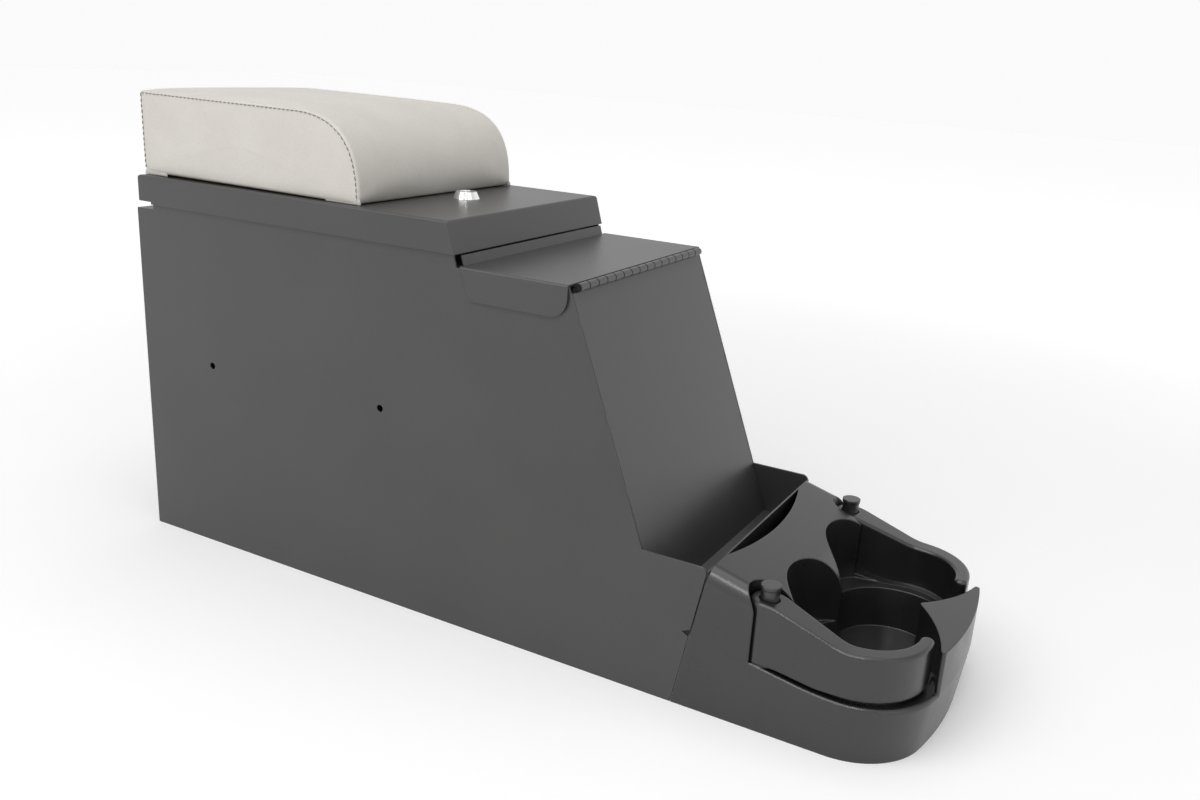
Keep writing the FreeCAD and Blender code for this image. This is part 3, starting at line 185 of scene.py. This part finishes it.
def knuckle_gap_shade(finish):
    """1 in the narrow gaps between the knuckles of the flap's hinge: folds Y to the distance from a gap."""
    y = finish.node("ShaderNodeSeparateXYZ", {}, {0: finish.place}, "Y")
    from_gap = finish.node("ShaderNodeMath", {"operation": "PINGPONG"}, {0: y * (1 / KNUCKLE_PITCH), 1: 0.5})
    return 1 - step(finish, from_gap, 0.03, 0.07)


def powder_coat(name, level, gaps=False):
    """Satin dark coat: 1.4 mm pebble in the normal, 90 mm clouds and fine flecks in the tone, painted
    highlight on edges.

    The hinge's coat is painted near black in the gaps between its knuckles, a painted shade, and is dull
    there.
    """
    finish = Finish(name)
    normal = rounded(finish, 1.0)
    pebble = noise(finish, 1.4, 1.0)
    fleck = noise(finish, 0.7, 3.0)
    cloud = noise(finish, 90, 2.0)
    tone = mix(finish, step(finish, cloud, 0.3, 0.7), grey(level * 0.93), grey(level * 1.07, 0.01))
    flecked = mix(finish, step(finish, fleck, 0.52, 0.72) * 0.3, tone, grey(level * 1.7))
    # The rounded edges are painted paler here: a painted highlight.
    coat = mix(finish, highlight_edge_mask(finish, normal) * 0.5, flecked, grey(level * 2.2))
    rough = 0.33 + cloud * 0.1
    if gaps:
        # Painted shade: the knuckle gaps are painted near black, and made duller.
        dark = knuckle_gap_shade(finish)
        coat = mix(finish, dark, coat, grey(0.002))
        rough = rough + dark * 0.6
    return finish.show({
        "Base Color": coat,
        "Roughness": rough,
        "Normal": bump(finish, pebble, 0.03, normal),
        "Specular IOR Level": 0.65,
    })


coated_steel = powder_coat("powder_coat", 0.04)
coated_hinge = powder_coat("powder_coat_hinge", 0.045, gaps=True)
print("coats", coated_steel.name, coated_hinge.name)

# %% [markdown]
# The cup holder is moulded from polypropylene in an etched steel tool, which leaves a fine satin grain. The
# two pins that the arms turn on are smooth. Both are nearly black, with a faint warm cast.


# %% Moulded plastics
def moulded(name, level, grain, depth, roughness):
    """Dark plastic: an etched grain in the normal, scuffs in the roughness, and edges painted paler as a
    painted highlight.
    """
    finish = Finish(name)
    normal = rounded(finish, 1.4)
    etched = noise(finish, grain, 2.0)
    scuff = noise(finish, 26, 4.0)
    tone = mix(finish, step(finish, scuff, 0.35, 0.75), grey(level * 0.92), grey(level * 1.1, 0.01))
    # Edges are painted paler in the base colour: a painted highlight.
    return finish.show({
        "Base Color": mix(finish, highlight_edge_mask(finish, normal) * 0.4, tone, grey(level * 2.2)),
        "Roughness": roughness + (scuff - 0.5) * 0.12,
        "Normal": bump(finish, etched, depth, normal),
        "Specular IOR Level": 0.8,
    })


moulding = moulded("moulded_grain", 0.013, 0.8, 0.03, 0.29)
pin_plastic = moulded("smooth_plastic", 0.02, 3.0, 0.01, 0.3)
print("plastics", moulding.name, pin_plastic.name)

# %% [markdown]
# Bare metals come next. The lock is chromed brass, so it mirrors the white studio. The lid's hinge, screws
# and the cam are zinc plated: brushed along one way, a little blotchy and much duller.


# %% Chrome and zinc
def plated(name, level, roughness, stretch, blotch):
    """Bare metal: streaks drawn out by the stretch vary the roughness, and 9 mm blotches vary the tone."""
    finish = Finish(name)
    streak = noise(finish, 0.5, 3.0, stretch)
    patch = step(finish, noise(finish, 9, 3.0), 0.35, 0.7)
    return finish.show({
        "Base Color": mix(finish, patch, grey(level), grey(level * (1 - blotch), 0.02)),
        "Metallic": 1.0,
        "Roughness": roughness + streak * roughness * 0.6,
        "Normal": bump(finish, streak, 0.004, rounded(finish, 0.4)),
    })


lock_chrome = plated("chrome", 0.9, 0.08, (1.0, 1.0, 1.0), 0.06)
zinc_steel = plated("zinc", 0.55, 0.3, (1.0, 12.0, 1.0), 0.25)
print("metals", lock_chrome.name, zinc_steel.name)

# %% [markdown]
# The board in the pad is plywood. Seen from its edge it is a stack of veneers, so thin layers follow Z, while
# the faces show long grain. The layers are noise that is stretched flat and then sharpened by a step.


# %% Plywood for the board
def plywood(name):
    """Veneers 1.6 mm thick in two tones, with grain drawn out along X."""
    finish = Finish(name)
    grain = noise(finish, 2.5, 4.0, (30.0, 1.0, 1.0))
    veneer = noise(finish, 1.6, 0.0, (1e3, 1e3, 1.0))
    wood = mix(finish, step(finish, grain, 0.35, 0.7), (0.46, 0.3, 0.17, 1), (0.6, 0.42, 0.25, 1))
    return finish.show({
        "Base Color": mix(finish, step(finish, veneer, 0.45, 0.55) * 0.5, wood, (0.33, 0.2, 0.1, 1)),
        "Roughness": 0.6 + grain * 0.2,
        "Normal": bump(finish, grain, 0.05, rounded(finish, 0.6)),
    })


board = plywood("plywood")
print("wood", board.name)

# %% [markdown]
# The armrest is covered in warm grey vinyl with a printed pebble like leather. Cells of a Voronoi pattern
# make the pebbles, and the valleys between them are a little darker. The thread is much darker and matt.


# %% Vinyl and thread
def vinyl_cover(name):
    """Light vinyl: 1.1 mm pebbles from cell distances, darker in the valleys, 40 mm clouds in the tone."""
    finish = Finish(name)
    wander = noise(finish, 1.5, 2.0)
    inputs = {"Vector": finish.place, "Scale": 1 / (1.1 * MM), "Randomness": 1.0}
    cell = finish.node("ShaderNodeTexVoronoi", {"feature": "SMOOTH_F1"}, inputs, "Distance")
    pebble = 1 - step(finish, cell + wander * 0.3, 0.35, 0.95)
    cloud = step(finish, noise(finish, 40, 3.0), 0.3, 0.7)
    pull = bump(finish, noise(finish, 30, 1.0), 0.8, finish.node("ShaderNodeNewGeometry", {}, {}, "Normal"))
    tone = mix(finish, cloud, (0.62, 0.594, 0.548, 1), (0.65, 0.625, 0.582, 1))
    return finish.show({
        "Base Color": mix(finish, pebble * 0.3 + 0.7, (0.53, 0.505, 0.46, 1), tone),
        "Roughness": 0.62 - pebble * 0.14,
        "Normal": bump(finish, pebble, 0.05, pull),
    })


def twisted_thread(name):
    """Sewing thread: a fine twist drawn out across the seam, in two greys."""
    finish = Finish(name)
    twist = noise(finish, 0.35, 2.0, (1.0, 3.0, 1.0))
    return finish.show({
        "Base Color": mix(finish, step(finish, twist, 0.4, 0.6), grey(0.16, 0.04), grey(0.26, 0.04)),
        "Roughness": 0.8 - twist * 0.1,
        "Normal": bump(finish, twist, 0.05, finish.node("ShaderNodeNewGeometry", {}, {}, "Normal")),
    })


vinyl = vinyl_cover("pebbled_vinyl")
thread = twisted_thread("thread")
print("cover", vinyl.name, thread.name)

# %% [markdown]
# The record that came with the CAD model says which finish each node takes. One lookup turns those names into
# the materials above, and each node gets the one that its record asks for.

# %% Dress the CAD nodes
slots = {
    "coated_steel": coated_steel,
    "coated_hinge": coated_hinge,
    "zinc_steel": zinc_steel,
    "moulding": moulding,
    "pin_plastic": pin_plastic,
    "vinyl": vinyl,
    "board": board,
    "lock_chrome": lock_chrome,
}
for subpart in frame["record"]["subparts"]:
    node = frame["nodes"][subpart["node"]]
    node.data.materials.clear()
    node.data.materials.append(slots[subpart["material_slot"]])

# %% [markdown]
# New pieces are skins over rings of points. Numpy works out all the rings at once, and this helper joins each
# ring to the next by quads. Both ends are closed by a fan round the middle of the last ring. Normals are then
# turned outward, which is only possible on a closed skin.


# %% Skin a stack of rings
def skin(name, rings, material):
    """Closed mesh over points of shape (rings, points, 3): round in the second index, fanned at both ends."""
    count, around = rings.shape[:2]
    index = np.arange(count * around).reshape(count, around)
    lower, upper = index[:-1], index[1:]
    corners = [lower, np.roll(lower, -1, axis=1), np.roll(upper, -1, axis=1), upper]
    faces = np.stack(corners, axis=-1).reshape(-1, 4).tolist()
    points = np.concatenate([rings.reshape(-1, 3), rings[[0, -1]].mean(axis=1)])
    for ring, pole in ((index[0], count * around), (index[-1], count * around + 1)):
        faces += np.stack([ring, np.roll(ring, -1), np.full(around, pole)], axis=-1).tolist()
    mesh = bpy.data.meshes.new(name)
    mesh.from_pydata(points.tolist(), [], faces)
    outward = bmesh.new()
    outward.from_mesh(mesh)
    bmesh.ops.recalc_face_normals(outward, faces=outward.faces)
    outward.to_mesh(mesh)
    outward.free()
    mesh.polygons.foreach_set("use_smooth", np.ones(len(mesh.polygons), bool))
    mesh.materials.append(material)
    made = bpy.data.objects.new(name, mesh)
    bpy.context.collection.objects.link(made)
    return made


def rounded_loop(corners, reach, count):
    """Closed outline whose corners become quadratic curves that start and end a reach away, evenly spaced."""
    corner = np.asarray(corners, float)
    into = corner - np.roll(corner, 1, axis=0)
    out = np.roll(corner, -1, axis=0) - corner
    into /= np.linalg.norm(into, axis=1, keepdims=True)
    out /= np.linalg.norm(out, axis=1, keepdims=True)
    reach = np.asarray(reach, float)[:, None]
    t = np.linspace(0, 1, 25)[None, :, None]
    curve = (
        (1 - t) ** 2 * (corner - into * reach)[:, None]
        + 2 * t * (1 - t) * corner[:, None]
        + t**2 * (corner + out * reach)[:, None]
    ).reshape(-1, 2)
    closed = np.concatenate([curve, curve[:1]])
    length = np.concatenate([[0], np.cumsum(np.linalg.norm(np.diff(closed, axis=0), axis=1))])
    even = np.linspace(0, length[-1], count, endpoint=False)
    return np.stack([np.interp(even, length, closed[:, 0]), np.interp(even, length, closed[:, 1])], axis=-1)


# %% [markdown]
# The armrest cushion is sewn from two side panels and one band that runs over the top and down the front. Its
# grid follows that pattern. One index goes round the side outline; the other starts in the middle of a side
# panel, grows out to the seam, crosses the band and shrinks into the far panel. Underneath, the skin steps up
# round the plywood board.

# %% Cut the cushion's pattern
pad_low, pad_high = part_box("armrest_pad")
board_low, board_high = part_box("armrest_board")
lid_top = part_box("lid")[1].z
PAD_HALF = pad_high.y
SEAM_INSET = 2.2 * MM
AROUND = 216
SIDE_RINGS = 13
BAND_RINGS = 52
FACES_DOWN = 0.7
LID_GAP = 0.5 * MM

under = pad_low.z + 1 * MM
side_outline = rounded_loop(
    [
        (pad_low.x + 1 * MM, under),
        (pad_low.x + 0.5 * MM, pad_high.z - 0.8 * MM),
        (pad_high.x - 2 * MM, pad_high.z - 3.3 * MM),
        (pad_high.x - 2 * MM, lid_top + LID_GAP),
    ],
    np.array([6, 2.5, 62, 4]) * MM,
    AROUND,
)
middle = side_outline.mean(axis=0)
edge_way = np.roll(side_outline, -1, axis=0) - np.roll(side_outline, 1, axis=0)
edge_way /= np.linalg.norm(edge_way, axis=1, keepdims=True)
inward = np.stack([edge_way[:, 1], -edge_way[:, 0]], axis=-1)
stitch_line = side_outline + SEAM_INSET * inward
grow = np.linspace(0.05, 1, SIDE_RINGS - 1)[:, None, None]
panel = np.concatenate([middle + grow * (stitch_line - middle), side_outline[None]])
band = np.broadcast_to(side_outline, (BAND_RINGS - 2, AROUND, 2))
flat = np.concatenate([panel, band, panel[::-1]])
across = np.linspace(-1, 1, BAND_RINGS)[1:-1]
side_y = np.concatenate([-np.ones(SIDE_RINGS), across, np.ones(SIDE_RINGS)]) * PAD_HALF
pattern = np.stack(
    [flat[..., 0], np.broadcast_to(side_y[:, None], flat.shape[:2]), flat[..., 1]],
    axis=-1,
)
on_band = np.abs(side_y) < PAD_HALF - 0.01 * MM
is_under = (inward[:, 1] > FACES_DOWN) & on_band[:, None]
clear = 1.2 * MM
over_board = (
    is_under
    & (np.abs(pattern[..., 1]) < board_high.y + clear)
    & (pattern[..., 0] > board_low.x - clear)
    & (pattern[..., 0] < board_high.x + clear)
)
pattern[..., 2] = np.where(is_under, lid_top + LID_GAP, pattern[..., 2])
pattern[..., 2] = np.where(over_board, board_high.z + 0.3 * MM, pattern[..., 2])
pad = skin("armrest_cushion", pattern, vinyl)
print("cushion grid", pattern.shape, "over the board", int(over_board.sum()))

# %% [markdown]
# A stuffed cover looks stuffed because pressure bulges it between seams that cannot stretch. Blender's cloth
# can do just that: the seams and the underside are pinned, gravity is off, and the air inside pushes outward
# for twenty frames. The result is kept only up to a limit: small on the firm top and larger in front.

# %% Stuff the cushion
FRAMES = 20
FIRM_LIMIT = 3.5 * MM
FRONT_EXTRA = 6 * MM
FRONT_FROM, FRONT_SPAN = 60 * MM, 55 * MM

on_seam = np.zeros(pattern.shape[:2], bool)
on_seam[[SIDE_RINGS - 1, -SIDE_RINGS]] = True
held = (on_seam | is_under).reshape(-1)
group = pad.vertex_groups.new(name="held")
group.add(np.flatnonzero(held).tolist(), 1.0, "REPLACE")

front_share = np.clip((pattern[..., 0] - pad_high.x + FRONT_FROM) / FRONT_SPAN, 0, 1)
limit = np.where(on_band[:, None], FIRM_LIMIT + FRONT_EXTRA * front_share, FIRM_LIMIT).reshape(-1)


def stuffed(obj, frames):
    """The vertices after the frames of cloth under pressure, as an array of shape (vertices, 3)."""
    cloth = obj.modifiers.new("stuffing", "CLOTH")
    settings = cloth.settings
    settings.quality = 6
    settings.mass = 0.3
    settings.tension_stiffness = 8
    settings.compression_stiffness = 8
    settings.shear_stiffness = 4
    settings.bending_stiffness = 0.6
    settings.use_pressure = True
    settings.uniform_pressure_force = 40
    settings.vertex_group_mass = "held"
    settings.effector_weights.gravity = 0
    cloth.collision_settings.use_collision = False
    cloth.point_cache.frame_end = frames
    for number in range(1, frames + 1):
        bpy.context.scene.frame_set(number)
    shown = obj.evaluated_get(bpy.context.evaluated_depsgraph_get()).data
    place = np.empty(len(shown.vertices) * 3)
    shown.vertices.foreach_get("co", place)
    obj.modifiers.remove(cloth)
    bpy.context.scene.frame_set(1)
    return place.reshape(-1, 3)


flat_points = np.concatenate([pattern.reshape(-1, 3), pattern[[0, -1]].mean(axis=1)])
move = stuffed(pad, FRAMES) - flat_points
far = np.linalg.norm(move, axis=1, keepdims=True)
cap = np.concatenate([limit, [FIRM_LIMIT, FIRM_LIMIT]])[:, None]
soft = cap * np.tanh(far / cap) / np.maximum(far, 1e-9)
pad.data.vertices.foreach_set("co", (flat_points + move * soft).ravel())
pad.data.update()
print("bulge before the limit", far.max() / MM, "mm and after", (far * soft).max() / MM, "mm")

smooth = pad.modifiers.new("smooth", "SUBSURF")
smooth.levels = 1
smooth.render_levels = 1
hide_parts("armrest_pad")
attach(pad, "lid")

# %% [markdown]
# Stitches are what shows that the cover is sewn. Each side panel has a row of them just inside the seam, up
# the back, along the top and down the front. The thread is a thin tube along that part of one ring of the
# cushion, and it sinks below the vinyl between two stitches.

# %% Sew the side panels
THREAD_RADIUS = 0.4 * MM
STITCH = 4.5 * MM


def unit(vectors):
    """The same directions at length one."""
    return vectors / np.linalg.norm(vectors, axis=-1, keepdims=True)


def even_path(points, count):
    """The same path with points at equal steps, and its length."""
    length = np.concatenate([[0], np.cumsum(np.linalg.norm(np.diff(points, axis=0), axis=1))])
    at = np.linspace(0, length[-1], count)
    return np.stack([np.interp(at, length, points[:, axis]) for axis in range(3)], axis=-1), length[-1]


def thread_rings(path, away, radius, stitch):
    """Rings round a path that is lifted by a wave along the direction away from the cover."""
    points, length = even_path(path, 1300)
    turns = np.round(length / stitch)
    wave = np.sin(np.linspace(0, 2 * np.pi * turns, len(points)))
    points = points + away * (wave * radius * 1.3)[:, None]
    ahead = unit(np.gradient(points, axis=0))
    side = unit(np.cross(ahead, away))
    angle = np.linspace(0, 2 * np.pi, 6, endpoint=False)[None, :, None]
    out = np.cross(side, ahead)
    return points[:, None] + radius * (np.cos(angle) * side[:, None] + np.sin(angle) * out[:, None])


shape = np.empty(len(pad.data.vertices) * 3)
pad.data.vertices.foreach_get("co", shape)
shape = shape.reshape(-1, 3)[: pattern.shape[0] * AROUND].reshape(pattern.shape)
is_sewn = inward[:, 1] < FACES_DOWN
first_sewn = np.flatnonzero(is_sewn & ~np.roll(is_sewn, 1))[0]
for name, row, away in (("right", SIDE_RINGS - 2, (0, -1, 0)), ("left", -SIDE_RINGS + 1, (0, 1, 0))):
    path = np.roll(shape[row], -first_sewn, axis=0)[: is_sewn.sum()]
    rings = thread_rings(path, np.array(away, float), THREAD_RADIUS, STITCH)
    sewn = skin(f"{name}_stitches", rings, thread)
    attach(sewn, "lid")
    print("stitches", name, len(sewn.data.polygons), "faces")

# %% [markdown]
# The photo shows short hems under the corners of the cushion, where the cover is folded over and reaches down
# to the lid. Each is a flat strip with round edges that follows the side of the cushion.

# %% Fold the hems under the corners
REAR_HEM = 28 * MM
FRONT_HEM = 36 * MM
HEM_THICK = 1.6 * MM
HEM_HIGH = 5.0 * MM
HEM_SHARE = 0.994


def hem_rings(start, end, side):
    """A strip from start to end along X: an upright rounded section that thins to 0.3 of its thickness and
    half its height at both ends.
    """
    along = np.linspace(0, 1, 24)
    swell = np.sqrt(np.clip(1 - (2 * along - 1) ** 8, 0, 1))[:, None]
    section = rounded_loop([(-0.5, 0), (-0.5, 1), (0.5, 1), (0.5, 0)], [0.3, 0.3, 0.3, 0.3], 24)
    thick = HEM_THICK * (0.3 + 0.7 * swell) * section[None, :, 0]
    height = HEM_HIGH * (0.5 + 0.5 * swell) * section[None, :, 1]
    x = np.broadcast_to((start + (end - start) * along)[:, None], thick.shape)
    return np.stack([x, side + thick, lid_top + 0.2 * MM + height], axis=-1)


for side, y in (("right", -PAD_HALF), ("left", PAD_HALF)):
    for end, start, stop in (
        ("rear", pad_low.x + 1 * MM, pad_low.x + REAR_HEM),
        ("front", pad_high.x - FRONT_HEM, pad_high.x - 1 * MM),
    ):
        hem = skin(f"{side}_{end}_hem", hem_rings(start, stop, y * HEM_SHARE), vinyl)
        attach(hem, "lid")
print("hems under four corners, lid at", lid_top)

# %% [markdown]
# The steel body is tack welded: short beads hold the sloping front and the back between the sides, and the
# coat runs over them. A bead is a low ridge with the torch's ripples, thinning out at both ends.


# %% Tack welds on the body
def bead_rings(start, end, radius):
    """Ridge from start to end: its radius is a half ellipse with five ripples."""
    along = np.linspace(0, 1, 40)
    start, end = np.asarray(start, float), np.asarray(end, float)
    axis = unit(end - start)
    first = unit(np.cross(axis, (0.3, 1.0, 0.1)))
    second = np.cross(axis, first)
    size = radius * np.sqrt(np.clip(1 - (2 * along - 1) ** 2, 4e-3, 1)) * (1 + 0.08 * np.sin(along * 31))
    angle = np.linspace(0, 2 * np.pi, 14, endpoint=False)[None, :, None]
    centre = (start + (end - start) * along[:, None])[:, None]
    return centre + size[:, None, None] * (np.cos(angle) * first + np.sin(angle) * second)


SLOPE_TOP = np.array([75.5, 290.7]) * MM
SLOPE_FOOT = np.array([145.2, 112.0]) * MM
SLOPE_WELDS = (0.13, 0.5, 0.78)
REAR_WELDS = np.array([69, 137, 206, 265]) * MM
WELD = 13 * MM
WELD_RADIUS = 1.1 * MM
SUNK = 0.7 * MM

side_low, side_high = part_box("right_side_panel")
along_slope = (SLOPE_FOOT - SLOPE_TOP) / np.linalg.norm(SLOPE_FOOT - SLOPE_TOP)
places = []
for share in SLOPE_WELDS:
    x, z = SLOPE_TOP + share * (SLOPE_FOOT - SLOPE_TOP) - SUNK * np.array([-along_slope[1], along_slope[0]])
    dx, dz = along_slope * WELD / 2
    places.append(((x - dx, side_high.y - 0.2 * MM, z - dz), (x + dx, side_high.y - 0.2 * MM, z + dz)))
for z in REAR_WELDS:
    places.append(((side_low.x, side_high.y, z - WELD / 2), (side_low.x, side_high.y, z + WELD / 2)))
for number, (start, end) in enumerate(places):
    for side, mirror in (("right", (1, 1, 1)), ("left", (1, -1, 1))):
        rings = bead_rings(start * np.array(mirror), end * np.array(mirror), WELD_RADIUS)
        weld = skin(f"{side}_weld_{number}", rings, coated_steel)
        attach(weld, "console")
print("tack welds", 2 * len(places))

# %% [markdown]
# The floor is a plain pale sheet that is large enough to fill the view and keeps the soft shadow under the
# console. It glows a little, and more so far away, which makes it melt into the backdrop.

# %% Floor
REACH = 9
FLOOR_NEAR, FLOOR_FAR = 0.2, 0.61
FADE_FROM, FADE_TO = 0.3, 2.2

floor_mesh = bpy.data.meshes.new("floor")
floor_corners = [(-REACH, -REACH, 0), (REACH, -REACH, 0), (REACH, REACH, 0), (-REACH, REACH, 0)]
floor_mesh.from_pydata(floor_corners, [], [(0, 1, 2, 3)])
floor = bpy.data.objects.new("floor", floor_mesh)
bpy.context.collection.objects.link(floor)
pale = Finish("studio_floor")
paper = noise(pale, 400, 2.0)
away = pale.node("ShaderNodeVectorMath", {"operation": "LENGTH"}, {0: pale.place}, "Value")
floor_mesh.materials.append(
    pale.show({
        "Base Color": mix(pale, paper, grey(0.86), grey(0.9)),
        "Roughness": 0.8 + paper * 0.1,
        "Emission Color": mix(pale, step(pale, away, FADE_FROM, FADE_TO), grey(FLOOR_NEAR), grey(FLOOR_FAR)),
        "Emission Strength": 1.0,
    })
)
print("floor", 2 * REACH, "m wide")

# %% [markdown]
# The world is white to the camera, and somewhat dimmer as a light. Reflections see white walls and a darker
# ceiling, as in a real studio, which keeps slopes and wells dark. A mix by the kind of ray does this, so the
# nodes are added by the same method as those of a material.

# %% Backdrop
LIGHTING, BACKDROP, CEILING = 0.36, 0.96, 0.7
CEILING_FROM, CEILING_FULL = 0.32, 0.62


class Room(Finish):
    """The world in the making: it takes nodes as a material does, and has an output in place of a surface."""

    def __init__(self, world):
        world.use_nodes = True
        self.tree = world.node_tree
        self.tree.nodes.remove(self.tree.nodes["Background"])

    def glow(self, strength):
        return self.node("ShaderNodeBackground", {}, {"Color": grey(1), "Strength": strength})

    def ray(self, kind):
        return self.node("ShaderNodeLightPath", {}, {}, f"Is {kind} Ray")

    def choose(self, mask, first, second):
        return self.node("ShaderNodeMixShader", {}, {0: mask, 1: first, 2: second})


world = bpy.data.worlds.new("studio")
bpy.context.scene.world = world
room = Room(world)
way = room.node("ShaderNodeTexCoord", output="Generated")
height = room.node("ShaderNodeSeparateXYZ", {}, {0: way}, "Z")
overhead = step(room, height, CEILING_FROM, CEILING_FULL) * room.ray("Glossy")
shown = room.choose(overhead, room.glow(BACKDROP), room.glow(CEILING))
is_shown = room.ray("Camera") + room.ray("Glossy") + room.ray("Transmission")
lit = room.choose(is_shown, room.glow(LIGHTING), shown)
room.feed(room.tree.nodes["World Output"].inputs["Surface"], lit)
print("world", world.name, "lights at", LIGHTING, "and shows", BACKDROP)

# %% [markdown]
# Three large soft lamps give the plates their shading. The key hangs high on the camera's left and lights the
# pad's top and the near side, a weak one on the right opens the shadows on the sloping front, and one hangs
# overhead. A small lamp above the cup holder draws the bright lines on its rounded edges.


# %% Studio lamps
def softbox(name, place, target, side, watts):
    """A square area lamp of the given side at a place, turned to face the target."""
    lamp = bpy.data.lights.new(name, "AREA")
    lamp.size = side
    lamp.energy = watts
    made = bpy.data.objects.new(name, lamp)
    bpy.context.collection.objects.link(made)
    made.location = place
    made.rotation_euler = (Vector(target) - Vector(place)).to_track_quat("-Z", "Y").to_euler()
    return made


key = softbox("key", place=(-0.7, -1.4, 2.0), target=(0, 0, 0.2), side=1.6, watts=21)
fill = softbox("fill", place=(1.7, -0.6, 1.3), target=(0.1, 0, 0.2), side=1.4, watts=3)
top_lamp = softbox("top", place=(0.1, 0.2, 2.4), target=(0.1, 0, 0.2), side=1.6, watts=11)
rim = softbox("rim", place=(0.45, -0.95, 1.65), target=(0.25, 0, 0.1), side=0.4, watts=5)
print("lamps", key.name, fill.name, top_lamp.name, rim.name)

# %% [markdown]
# The camera stands where the photographer stood. Its place and angles were worked out from the straight edges
# of the steel body in the photo; a 36 mm wide sensor with a 33 mm lens gives the same perspective.

# %% Camera
CAMERA_PLACE = Vector((0.44805, -0.75090, 0.44756))
YAW, PITCH, ROLL = -0.49041093, 0.30845883, 0.05979714
SENSOR_WIDTH, LENS = 36, 32.938

look = Vector((math.sin(YAW) * math.cos(PITCH), math.cos(YAW) * math.cos(PITCH), -math.sin(PITCH)))
level = Vector((math.cos(YAW), -math.sin(YAW), 0))
upward = level.cross(look)
right = math.cos(ROLL) * level + math.sin(ROLL) * upward
top = math.cos(ROLL) * upward - math.sin(ROLL) * level
lens = bpy.data.cameras.new("camera")
lens.sensor_width = SENSOR_WIDTH
lens.lens = LENS
camera = bpy.data.objects.new("camera", lens)
bpy.context.collection.objects.link(camera)
turn = Matrix((right, top, -look)).transposed()
camera.matrix_world = Matrix.Translation(CAMERA_PLACE) @ turn.to_4x4()
bpy.context.scene.camera = camera
bpy.context.scene.view_settings.view_transform = "Standard"
print("camera looks along", look)
